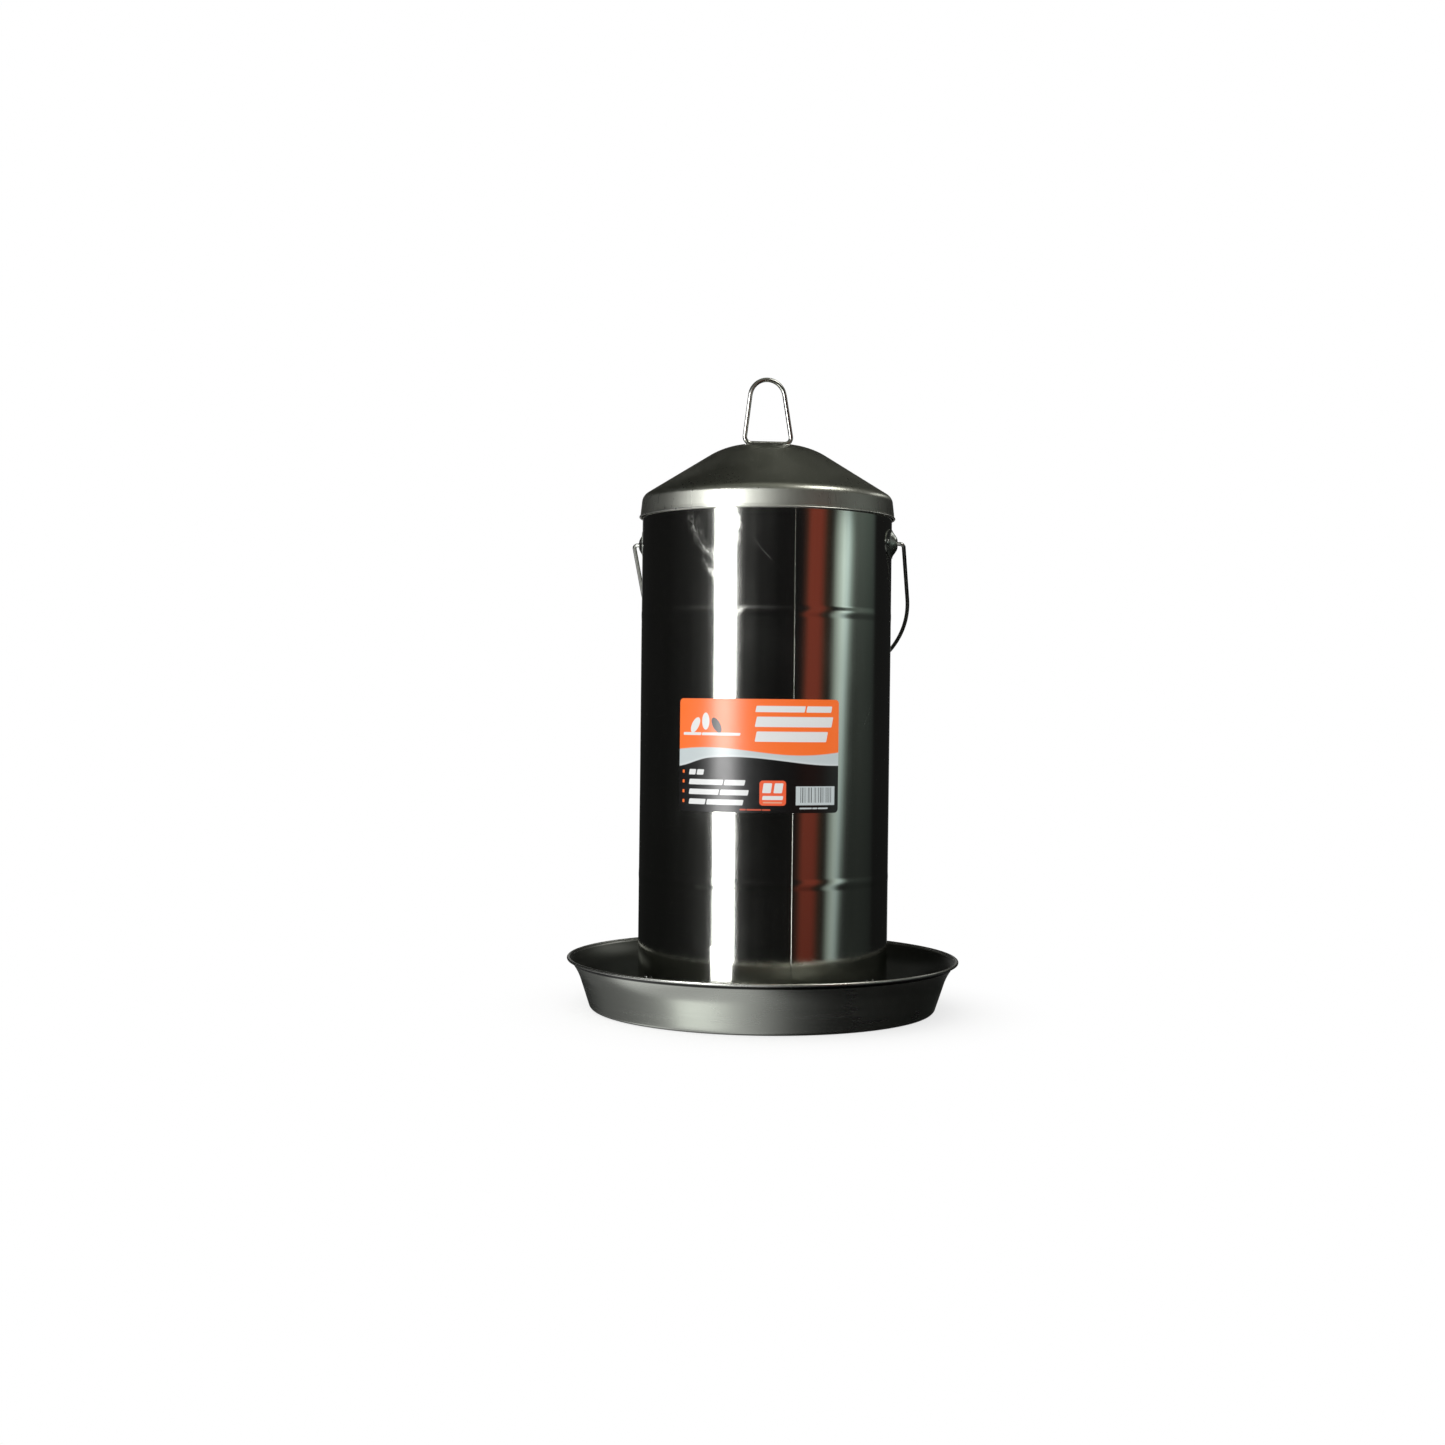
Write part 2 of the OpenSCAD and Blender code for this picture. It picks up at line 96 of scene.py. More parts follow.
CROWN_Z = high("lid_shell").z
CROWN_R = 20 * MM
CROWN_BEND = 76 * MM
LID_SLOPE = math.radians(32)
SHOULDER_BEND = 10.5 * MM
SKIRT_R = 129.5 * MM
SKIRT_Z = low("lid_shell").z + 0.95 * MM
SKIRT_FLARE = math.radians(6.5)
SKIRT_BEAD = 0.95 * MM
HEM_LINE_Z = SKIRT_Z + 2.7 * MM
HEM_LINE_HALF = 0.55 * MM
HEM_LINE_DEPTH = 0.07 * MM

LOOP_WIRE = 4.5 * MM
LOOP_H = 64.9 * MM
LOOP_HALF = 25.4 * MM
LOOP_TAPER = math.radians(8.4)
LOOP_CORNER = 6.5 * MM
LOOP_TURN = math.radians(25)
LOOP_TIP = math.radians(1.3)

BAIL_WIRE = 4 * MM
PIVOT_Z = (low("ear_right").z + high("ear_right").z) / 2
BAIL_HALF = high("bail").x - BAIL_WIRE / 2
LEG_DROP = 70 * MM
SHOULDER_R = 118.5 * MM
CROWN_DROP = 42 * MM
LEG_BEND = 4 * MM
REST_GAP = 0.35 * MM
HEAD_R = 3.5 * MM
HEAD_IN = 2.2 * MM
HEAD_T = 1.6 * MM

EAR_W = 54 * MM
EAR_H = 28 * MM
EAR_T = 0.8 * MM
EAR_TIP = high("ear_right").x - DRUM_R
DOME_R = 13 * MM
DOME_TIP_R = 4.8 * MM
DOME_FOOT_R = DOME_R + 1.5 * MM

FLANGE_R = 96 * MM
CONE_R = 86 * MM
CONE_SLOPE = math.radians(33)
CONE_TIP = 14 * MM
CONE_BEND = 1.5 * MM

# How far the sheet strays from a true surface of revolution
DRUM_WAVE = 0.10 * MM
PAN_WAVE = 0.15 * MM
LID_WAVE = 0.12 * MM

# ---- mesh helpers

TURNS = 480


def finish_mesh(name, vertices, faces, body, stands_for, sharp):
    """Makes a smooth-shaded piece that rides on a body and stands for CAD nodes."""
    mesh = bpy.data.meshes.new(name)
    mesh.from_pydata([tuple(v) for v in vertices], [], faces)
    work = bmesh.new()
    work.from_mesh(mesh)
    bmesh.ops.remove_doubles(work, verts=work.verts, dist=1e-7)
    bmesh.ops.recalc_face_normals(work, faces=work.faces)
    work.to_mesh(mesh)
    work.free()
    mesh.shade_smooth()
    mesh.set_sharp_from_angle(angle=math.radians(sharp))
    piece = bpy.data.objects.new(name, mesh)
    bpy.context.scene.collection.objects.link(piece)
    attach(piece, body)
    if stands_for:
        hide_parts(*stands_for)
    return piece


def turned(angle, radius, z):
    """The point at an angle from -Y towards +X."""
    return Vector((radius * math.sin(angle), -radius * math.cos(angle), z))


def lathe(outline, angles, shape=None):
    """Vertices and faces of a closed outline of (radius, height) points turned about the Z axis."""
    vertices = []
    for angle in angles:
        for radius, z in outline:
            vertices.append(turned(angle, shape(angle, radius, z) if shape else radius, z))
    rows = len(outline)
    faces = []
    for i in range(len(angles)):
        following = (i + 1) % len(angles)
        for j in range(rows):
            k = (j + 1) % rows
            if outline[j][0] < 1e-6 and outline[k][0] < 1e-6:
                continue
            faces.append((i * rows + j, i * rows + k, following * rows + k, following * rows + j))
    return vertices, faces


def even_angles(count):
    return [2 * math.pi * i / count for i in range(count)]


def arc(centre, radius, start, end, steps):
    """Points on an arc, angles in radians from the outline's +R axis."""
    points = []
    for i in range(steps + 1):
        t = start + (end - start) * i / steps
        points.append((centre[0] + radius * math.cos(t), centre[1] + radius * math.sin(t)))
    return points


def between(a, b, steps):
    """Points after a, up to and with b."""
    return [(a[0] + (b[0] - a[0]) * i / steps, a[1] + (b[1] - a[1]) * i / steps) for i in range(1, steps + 1)]


def sweep(path, radius, sides, closed, first_side):
    """Vertices and faces of a round wire along a path. first_side is any direction across its start."""
    count = len(path)
    vertices = []
    side = Vector(first_side).normalized()
    for i, point in enumerate(path):
        ahead = path[(i + 1) % count] if closed or i < count - 1 else point
        behind = path[i - 1] if closed or i > 0 else point
        along = (ahead - behind).normalized()
        side = (side - along * side.dot(along)).normalized()
        other = along.cross(side)
        for j in range(sides):
            t = 2 * math.pi * j / sides
            vertices.append(point + radius * (math.cos(t) * side + math.sin(t) * other))
    faces = []
    for i in range(count if closed else count - 1):
        following = (i + 1) % count
        for j in range(sides):
            k = (j + 1) % sides
            faces.append((i * sides + j, i * sides + k, following * sides + k, following * sides + j))
    if not closed:
        faces.append(tuple(range(sides)))
        faces.append(tuple((count - 1) * sides + j for j in range(sides)))
    return vertices, faces


def joined(parts):
    """Several (vertices, faces) pairs as one."""
    vertices, faces = [], []
    for more_vertices, more_faces in parts:
        start = len(vertices)
        vertices += list(more_vertices)
        faces += [tuple(start + i for i in face) for face in more_faces]
    return vertices, faces


# ---- pieces

def bead_bulge(z):
    """How far the drum's two stiffening beads stand out at a height."""
    out = 0
    for centre in (LOW_BEAD_Z, HIGH_BEAD_Z):
        if abs(z - centre) < BEAD_W / 2:
            out = max(out, BEAD_H / 2 * (1 + math.cos(2 * math.pi * (z - centre) / BEAD_W)))
    return out


def wall_heights(bottom, top):
    """Heights along the drum wall, closer together over the beads."""
    heights = [bottom + (top - bottom) * i / 70 for i in range(71)]
    heights = [z for z in heights if min(abs(z - LOW_BEAD_Z), abs(z - HIGH_BEAD_Z)) > BEAD_W * 0.6]
    for centre in (LOW_BEAD_Z, HIGH_BEAD_Z):
        heights += [centre + BEAD_W * 0.55 * i / 14 for i in range(-14, 15)]
    return sorted(heights)


def drum_shape(angle, radius, z):
    """The drum's radius with the slight waves of rolled sheet and the groove along the lap seam."""
    wave = noise.noise(Vector((math.sin(angle) * 3.1, math.cos(angle) * 3.1, z * 7)))
    held = min(1, (z - DRUM_BOTTOM) / 0.05, (DRUM_TOP - z) / 0.05)
    radius += wave * DRUM_WAVE * max(0, held)
    off_seam = abs(angle - SEAM_TURN) * DRUM_R
    if radius > DRUM_R - SHEET * 0.6 and off_seam < SEAM_HALF and z > DRUM_BOTTOM + HEM_H / 2:
        radius -= SEAM_DEPTH * (1.1 - 0.4 * z) * math.cos(off_seam / SEAM_HALF * math.pi / 2)
    return radius


def make_drum():
    curl_x = DRUM_R - 0.1 * MM - CURL_R
    curl_z = DRUM_TOP - CURL_R
    hem_round = SHEET
    heights = wall_heights(DRUM_BOTTOM + hem_round, curl_z)
    outer = [(DRUM_R + bead_bulge(z), z) for z in heights]
    inner = [(DRUM_R - SHEET + bead_bulge(z), z) for z in reversed(heights) if z > DRUM_BOTTOM + HEM_H]
    curl = arc((curl_x, curl_z), CURL_R, 0, math.radians(200), 20)
    curl += arc((curl_x, curl_z), CURL_R - SHEET, math.radians(200), math.radians(30), 14)
    inner_r = DRUM_R - 2 * SHEET
    hem = [(inner_r, DRUM_BOTTOM + HEM_H), (inner_r, DRUM_BOTTOM + hem_round)]
    hem += arc((DRUM_R - SHEET, DRUM_BOTTOM + hem_round), SHEET, math.pi, 2 * math.pi, 10)[1:-1]
    outline = outer + curl + inner + hem
    angles = even_angles(TURNS * 3 // 2)
    angles += [SEAM_TURN + SEAM_HALF / DRUM_R * i / 3 for i in range(-3, 4)]
    vertices, faces = lathe(outline, sorted(angles), drum_shape)
    return finish_mesh("drum", vertices, faces, "feeder", ["drum_shell"], 50)


def make_label():
    """A printed sheet on the drum, with round corners."""
    rows, columns = 60, 120
    half_h = (LABEL_HIGH - LABEL_LOW) / 2
    middle_z = (LABEL_HIGH + LABEL_LOW) / 2

    def half_width(v):
        into_corner = LABEL_CORNER - (half_h - abs(v))
        if into_corner <= 0:
            return LABEL_W / 2
        return LABEL_W / 2 - LABEL_CORNER + math.sqrt(max(0, LABEL_CORNER ** 2 - into_corner ** 2))

    def layer(radius):
        points = []
        for i in range(rows + 1):
            v = -half_h * math.cos(math.pi * i / rows)
            for j in range(columns + 1):
                u = half_width(v) * (2 * j / columns - 1)
                points.append(turned(LABEL_TURN + u / DRUM_R, radius, middle_z + v))
        return points

    front = layer(DRUM_R + LABEL_GAP + LABEL_T)
    back = layer(DRUM_R + LABEL_GAP)
    count = len(front)
    wide = columns + 1
    faces = []
    for i in range(rows):
        for j in range(columns):
            a = i * wide + j
            faces.append((a, a + 1, a + wide + 1, a + wide))
            faces.append((count + a, count + a + wide, count + a + wide + 1, count + a + 1))
    edge = list(range(wide)) + [i * wide + columns for i in range(1, rows + 1)]
    edge += [rows * wide + j for j in range(columns - 1, -1, -1)] + [i * wide for i in range(rows - 1, 0, -1)]
    for a, b in zip(edge, edge[1:] + edge[:1]):
        faces.append((a, count + a, count + b, b))
    return finish_mesh("label_sheet", front + back, faces, "feeder", ["label"], 50)


def ear_rise(reach):
    """How far the outer face of an ear stands off the drum at a distance from the pivot axis."""
    plate = EAR_T + LABEL_GAP
    if reach <= DOME_TIP_R:
        return EAR_TIP
    if reach >= DOME_FOOT_R:
        return plate
    t = (reach - DOME_TIP_R) / (DOME_FOOT_R - DOME_TIP_R)
    smooth = t * t * (3 - 2 * t)
    return EAR_TIP + (plate - EAR_TIP) * (0.45 * t + 0.55 * smooth)


def make_ear(name, node, side):
    """A pressed ear: an oblong plate that follows the drum, with a dome round the bail's pin."""
    spokes, rings, near_rings = 96, 40, 30
    hole = BAIL_WIRE / 2 + 0.08 * MM
    end_r = EAR_H / 2 - 0.5 * MM

    def outline_reach(t):
        """Distance from the pivot to the plate's edge in a direction."""
        c, s = abs(math.cos(t)), abs(math.sin(t))
        straight = EAR_W / 2 - end_r
        if s > 1e-9 and (EAR_H / 2) / s * c <= straight:
            return (EAR_H / 2) / s
        b = c * straight
        return b + math.sqrt(max(0, b * b - straight ** 2 + end_r ** 2))

    def place(u, v, rise):
        angle = side * (math.pi / 2 - u / DRUM_R)
        return turned(angle, DRUM_R + rise, PIVOT_Z + v)

    def layer(inside):
        points = []
        for i in range(rings + 1):
            for j in range(spokes):
                t = 2 * math.pi * j / spokes
                far = outline_reach(t)
                if i <= near_rings:
                    reach = min(far, hole + (DOME_FOOT_R - hole) * i / near_rings)
                else:
                    start = min(DOME_FOOT_R, far)
                    reach = start + (far - start) * (i - near_rings) / (rings - near_rings)
                rise = ear_rise(reach)
                if inside:
                    rise = max(LABEL_GAP, rise - EAR_T)
                if not inside and i == rings:
                    rise -= EAR_T * 0.3
                points.append(place(reach * math.cos(t), reach * math.sin(t), rise))
        return points

    front, back = layer(False), layer(True)
    count = len(front)
    faces = []
    for i in range(rings):
        for j in range(spokes):
            k = (j + 1) % spokes
            a, b = i * spokes + j, i * spokes + k
            faces.append((a, b, b + spokes, a + spokes))
            faces.append((count + a, count + a + spokes, count + b + spokes, count + b))
    for j in range(spokes):
        k = (j + 1) % spokes
        last = rings * spokes
        faces.append((j, count + j, count + k, k))
        faces.append((last + j, last + k, count + last + k, count + last + j))
    return finish_mesh(name, front + back, faces, "feeder", [node], 35)


def pan_outline():
    """The pan's section: floor with a raised panel, foot, side that curves outwards, and rolled rim."""
    flare_r = (PAN_LIP_Z - PAN_FLARE_Z) / (math.sin(PAN_LIP_LEAN) - math.sin(PAN_LEAN))

    def side(inset):
        panel = [((PANEL_R - 5 * MM) * i / 12, PANEL_RISE + inset) for i in range(12)]
        bend = 4 * MM
        step = arc((PANEL_R - bend * 0.9 - PANEL_RISE, PANEL_RISE - bend), bend + inset,
                   math.pi / 2, math.pi / 4, 6)
        step += arc((PANEL_R + bend * 0.9 - PANEL_RISE + 0.6 * MM, bend), bend - inset,
                    math.pi * 1.25, math.pi * 1.5, 6)
        foot = between((PANEL_R + 4 * MM, 0), (PAN_FOOT_R, 0), 4)[:-1]
        foot = [(r, z + inset) for r, z in foot]
        corner = arc((PAN_FOOT_R, PAN_BEND), PAN_BEND - inset, -math.pi / 2, -PAN_LEAN, 12)
        start = (PAN_FOOT_R + PAN_BEND * math.cos(PAN_LEAN), PAN_BEND - PAN_BEND * math.sin(PAN_LEAN))
        knee = (start[0] + (PAN_FLARE_Z - start[1]) * math.tan(PAN_LEAN), PAN_FLARE_Z)
        centre = (knee[0] + flare_r * math.cos(PAN_LEAN), knee[1] - flare_r * math.sin(PAN_LEAN))
        flare = arc(centre, flare_r + inset, math.pi - PAN_LEAN, math.pi - PAN_LIP_LEAN, 14)
        straight = between(corner[-1], flare[0], 8)[:-1]
        return panel + step + foot + corner + straight + flare

    outer, inner = side(0), side(PAN_SHEET)
    middle = ((outer[-1][0] + inner[-1][0]) / 2, (outer[-1][1] + inner[-1][1]) / 2)
    rim_centre = (middle[0] + PAN_RIM_R * 0.7, middle[1] + PAN_RIM_R * 0.3)
    rim = arc(rim_centre, PAN_RIM_R, math.radians(-128), math.radians(172), 28)
    return outer[:-1] + rim + list(reversed(inner[:-1]))


def pan_shape(angle, radius, z):
    """Shallow unevenness of spun sheet, none on the rim or under the foot."""
    if radius < PAN_FOOT_R or z > PAN_LIP_Z - 4 * MM:
        return radius
    wave = noise.noise(Vector((math.sin(angle) * 2.3, math.cos(angle) * 2.3, z * 25)))
    return radius + wave * PAN_WAVE * math.sin(math.pi * min(1, z / PAN_LIP_Z))


def make_pan():
    vertices, faces = lathe(pan_outline(), even_angles(TURNS), pan_shape)
    return finish_mesh("feed_pan", vertices, faces, "feeder", ["pan"], 50)


def lid_outline():
    """The lid's section: crown, cone, shoulder, skirt with a pressed line, and rolled edge."""
    cone_start = (CROWN_R + CROWN_BEND * math.sin(LID_SLOPE),
                  CROWN_Z - CROWN_BEND + CROWN_BEND * math.cos(LID_SLOPE))
    off_skirt = SKIRT_R * math.cos(SKIRT_FLARE) + SKIRT_Z * math.sin(SKIRT_FLARE) - SHOULDER_BEND
    off_cone = cone_start[0] * math.sin(LID_SLOPE) + cone_start[1] * math.cos(LID_SLOPE) - SHOULDER_BEND
    spread = math.cos(LID_SLOPE + SKIRT_FLARE)
    centre = ((off_skirt * math.cos(LID_SLOPE) - off_cone * math.sin(SKIRT_FLARE)) / spread,
              (off_cone * math.cos(SKIRT_FLARE) - off_skirt * math.sin(LID_SLOPE)) / spread)

    def side(inset):
        flat = [(CROWN_R * i / 4, CROWN_Z - inset) for i in range(4)]
        crown = arc((CROWN_R, CROWN_Z - CROWN_BEND), CROWN_BEND - inset, math.pi / 2,
                    math.pi / 2 - LID_SLOPE, 20)
        shoulder = arc(centre, SHOULDER_BEND - inset, math.pi / 2 - LID_SLOPE, SKIRT_FLARE, 18)
        cone = between(crown[-1], shoulder[0], 14)[:-1]
        end = (SKIRT_R - inset * math.cos(SKIRT_FLARE), SKIRT_Z - inset * math.sin(SKIRT_FLARE))
        skirt = []
        for radius, z in between(shoulder[-1], end, 40):
            line = math.exp(-((z - HEM_LINE_Z) / HEM_LINE_HALF) ** 2)
            skirt.append((radius - HEM_LINE_DEPTH * line, z))
        return flat + crown + cone + shoulder + skirt

    outer, inner = side(0), side(SHEET)
    bead = arc((SKIRT_R - 0.1 * MM, SKIRT_Z), SKIRT_BEAD, math.radians(60), math.radians(-240), 24)
    return outer[:-2] + bead + list(reversed(inner[:-2]))


def lid_shape(angle, radius, z):
    """Slight waves in the lid's sheet, none at its edge."""
    wave = noise.noise(Vector((math.sin(angle) * 1.9, math.cos(angle) * 1.9, z * 16 + radius * 9)))
    return radius + wave * LID_WAVE * min(1, max(0, (z - SKIRT_Z) / 0.02)) * min(1, radius / 0.05)


def make_lid():
    vertices, faces = lathe(lid_outline(), even_angles(TURNS), lid_shape)
    return finish_mesh("lid_cover", vertices, faces, "lid", ["lid_shell"], 50)


def loop_path():
    """The lid loop's closed centre line: a base, two corners, two legs and a round top."""
    c, t = math.cos(LOOP_TAPER), math.tan(LOOP_TAPER)
    top_r = (LOOP_HALF - t * LOOP_H) / (1 / c - t)
    top_y = LOOP_H - top_r
    corner_x = LOOP_HALF - t * LOOP_CORNER - LOOP_CORNER / c
    right = arc((corner_x, LOOP_CORNER), LOOP_CORNER, -math.pi / 2, LOOP_TAPER, 16)
    top = arc((0, top_y), top_r, LOOP_TAPER, math.pi - LOOP_TAPER, 40)
    left = [(-x, y) for x, y in reversed(right)]
    flat = right + between(right[-1], top[0], 8)[:-1] + top + between(top[-1], left[0], 8)[:-1] + left
    flat += between(left[-1], right[0], 8)[:-1]
    lift = LOOP_WIRE / 2 + LOOP_HALF * math.sin(LOOP_TIP) * 0.7
    points = []
    for x, y in flat:
        out = x * math.cos(LOOP_TIP) - y * math.sin(LOOP_TIP)
        up = x * math.sin(LOOP_TIP) + y * math.cos(LOOP_TIP)
        points.append(Vector((out * math.cos(LOOP_TURN), out * math.sin(LOOP_TURN), CROWN_Z + lift + up)))
    return points


def make_loop():
    across = (-math.sin(LOOP_TURN), math.cos(LOOP_TURN), 0)
    vertices, faces = sweep(loop_path(), LOOP_WIRE / 2, 28, True, across)
    return finish_mesh("lid_loop_wire", vertices, faces, "lid", ["lid_loop"], 60)


def make_loop_welds():
    """Small weld beads along both sides of the loop's base, where it sits on the crown."""
    random.seed(4)
    along = Vector((math.cos(LOOP_TURN), math.sin(LOOP_TURN), 0))
    across = Vector((-math.sin(LOOP_TURN), math.cos(LOOP_TURN), 0))
    parts = []
    for place in (-12.5, -9.5, 9.0, 12.0):
        for way in (-1, 1):
            centre = along * place * MM + across * way * 2.1 * MM + Vector((0, 0, CROWN_Z + 0.1 * MM))
            size = Vector((random.uniform(2.6, 3.2), random.uniform(1.5, 1.9), random.uniform(1.0, 1.3))) * MM
            parts.append(weld_bead(centre, along, across, size))
    vertices, faces = joined(parts)
    return finish_mesh("loop_welds", vertices, faces, "lid", [], 60)


def weld_bead(centre, along, across, size):
    """One rounded bead of weld metal, a little uneven."""
    rings, spokes = 10, 20
    vertices = [centre + Vector((0, 0, size.z))]
    for i in range(1, rings):
        lift = math.cos(math.pi * i / rings)
        width = math.sin(math.pi * i / rings)
        for j in range(spokes):
            t = 2 * math.pi * j / spokes
            rough = 1 + 0.12 * noise.noise(centre * 900 + Vector((math.cos(t), math.sin(t), lift)) * 1.6)
            out = (along * math.cos(t) * size.x + across * math.sin(t) * size.y) * width * rough
            vertices.append(centre + out + Vector((0, 0, lift * size.z)))
    vertices.append(centre - Vector((0, 0, size.z)))
    faces = [(0, 1 + j, 1 + (j + 1) % spokes) for j in range(spokes)]
    for i in range(rings - 2):
        for j in range(spokes):
            a, b = 1 + i * spokes + j, 1 + i * spokes + (j + 1) % spokes
            faces.append((a, b, b + spokes, a + spokes))
    last = len(vertices) - 1
    faces += [(last, last - spokes + (j + 1) % spokes, last - spokes + j) for j in range(spokes)]
    return vertices, faces


def bail_path():
    """The bail's centre line in its own plane, from one pin to the other, with -Y as down."""
    offset = (BAIL_HALF - SHOULDER_R, LEG_DROP - CROWN_DROP)
    join = math.atan2(offset[1], offset[0])
    crown_r = SHOULDER_R + math.hypot(*offset)
    pin = (DRUM_R + HEAD_IN + HEAD_T, 0)
    half = [pin] + arc((BAIL_HALF - LEG_BEND, -LEG_BEND), LEG_BEND, math.pi / 2, 0, 12)
    half += between(half[-1], (BAIL_HALF, -LEG_DROP), 12)
    half += arc((offset[0], -LEG_DROP), SHOULDER_R, 0, -join, 30)[1:]
    half += arc((0, -CROWN_DROP), crown_r, -join, -math.pi / 2, 60)[1:]
    return half + [(-x, y) for x, y in reversed(half[:-1])]


def make_bail():
    reach = CROWN_DROP + SHOULDER_R + math.hypot(BAIL_HALF - SHOULDER_R, LEG_DROP - CROWN_DROP)
    lean = math.asin((DRUM_R + BAIL_WIRE / 2 + REST_GAP) / reach)
    hang = Matrix.Translation((0, 0, PIVOT_Z)) @ Matrix.Rotation(math.pi / 2 + lean, 4, "X")
    path = [hang @ Vector((x, y, 0)) for x, y in bail_path()]
    parts = [sweep(path, BAIL_WIRE / 2, 24, False, (0, 1, 0))]
    for way in (-1, 1):
        edge = 0.35 * MM
        near, far = DRUM_R + HEAD_IN, DRUM_R + HEAD_IN + HEAD_T
        section = [(0, near), (HEAD_R - edge, near), (HEAD_R, near + edge), (HEAD_R, far - edge),
                   (HEAD_R - edge, far), (0, far)]
        vertices, faces = lathe(section, even_angles(32))
        turn = Matrix.Translation((0, 0, PIVOT_Z)) @ Matrix.Rotation(way * math.pi / 2, 4, "Y")
        parts.append(([turn @ v for v in vertices], faces))
    vertices, faces = joined(parts)
    return finish_mesh("bail_wire", vertices, faces, "bail", ["bail"], 50)


def make_cone():
    top = FLOOR_Z + SHEET
    tip_rise = (CONE_R - CONE_TIP * math.sin(CONE_SLOPE)) * math.tan(CONE_SLOPE)
    tip_z = top + tip_rise - CONE_TIP * math.cos(CONE_SLOPE)

    def side(inset):
        flange_end = CONE_R - inset * math.tan(CONE_SLOPE / 2) + CONE_BEND
        flange = [(FLANGE_R, top - inset), (flange_end, top - inset)]
        tip = arc((0, tip_z), CONE_TIP - inset, math.pi / 2 - CONE_SLOPE, math.pi / 2, 10)
        slope = between((CONE_R - CONE_BEND, top - inset + CONE_BEND * math.tan(CONE_SLOPE)), tip[0], 20)[:-1]
        return flange + slope + tip[:-1] + [(0, tip[-1][1])]

    outline = side(0) + list(reversed(side(SHEET)))
    vertices, faces = lathe(outline, even_angles(TURNS // 2))
    return finish_mesh("inner_cone", vertices, faces, "feeder", ["feed_cone"], 40)


# ---- materials

class Tree:
    """A node tree with short ways to add nodes. Values may be numbers, colours or other nodes' outputs."""

    def __init__(self, tree):
        self.tree = tree
        tree.nodes.clear()

    def add(self, kind, values=None, **settings):
        made = self.tree.nodes.new(kind)
        for key, value in settings.items():
            setattr(made, key, value)
        for key, value in (values or {}).items():
            self.put(made.inputs[key], value)
        return made

    def put(self, socket, value):
        if isinstance(value, bpy.types.NodeSocket):
            self.tree.links.new(value, socket)
        else:
            socket.default_value = value

    def math(self, operation, *values):
        made = self.add("ShaderNodeMath", operation=operation)
        for socket, value in zip(made.inputs, values):
            self.put(socket, value)
        return made.outputs[0]

    def step(self, value, start, end, low_out=0.0, high_out=1.0):
        """Rises smoothly from low_out at start to high_out at end."""
        made = self.add("ShaderNodeMapRange", {"Value": value, "From Min": start, "From Max": end,
                                              "To Min": low_out, "To Max": high_out},
                        interpolation_type="SMOOTHSTEP")
        return made.outputs[0]

    def mix(self, factor, a, b, blend="MIX"):
        made = self.add("ShaderNodeMix", data_type="RGBA", blend_type=blend)
        self.put(made.inputs["Factor"], factor)
        self.put(made.inputs[6], a)
        self.put(made.inputs[7], b)
        return made.outputs[2]

    def scale_colour(self, a, b, times):
        """One colour times another and times a number."""
        made = self.add("ShaderNodeVectorMath", {0: a, 1: b}, operation="MULTIPLY")
        scaled = self.add("ShaderNodeVectorMath", {0: made.outputs[0], "Scale": times}, operation="SCALE")
        return scaled.outputs[0]

    def length(self, a, b):
        """The length of a line with these two coordinates."""
        return self.math("SQRT", self.math("ADD", self.math("MULTIPLY", a, a), self.math("MULTIPLY", b, b)))

    def turned(self, a, b, angle):
        """Two coordinates along axes turned by an angle."""
        c, s = math.cos(angle), math.sin(angle)
        return (self.math("ADD", self.math("MULTIPLY", a, c), self.math("MULTIPLY", b, s)),
                self.math("SUBTRACT", self.math("MULTIPLY", b, c), self.math("MULTIPLY", a, s)))

    def vector(self, x, y, z):
        return self.add("ShaderNodeCombineXYZ", {"X": x, "Y": y, "Z": z}).outputs[0]

    def split(self, vector):
        return self.add("ShaderNodeSeparateXYZ", {"Vector": vector}).outputs

    def noise(self, vector, scale, detail, roughness):
        made = self.add("ShaderNodeTexNoise", {"Vector": vector, "Scale": scale, "Detail": detail,
                                              "Roughness": roughness})
        return made.outputs["Fac"]

    def finish(self, kind, shader):
        self.put(self.add(kind).inputs[0], shader.outputs[0])

    def ramp(self, factor, stops):
        made = self.add("ShaderNodeValToRGB", {"Fac": factor})
        elements = made.color_ramp.elements
        while len(elements) > 1:
            elements.remove(elements[0])
        for i, (place, colour) in enumerate(stops):
            element = elements[0] if i == 0 else elements.new(place)
            element.position = place
            element.color = colour_of(colour)
        return made.outputs["Color"]


def colour_of(value):
    """A grey number or three numbers, as a colour."""
    if isinstance(value, (int, float)):
        return (value, value, value, 1)
    return (*value, 1)


def new_material(name):
    material = bpy.data.materials.new(name)
    material.use_nodes = True
    return material, Tree(material.node_tree)


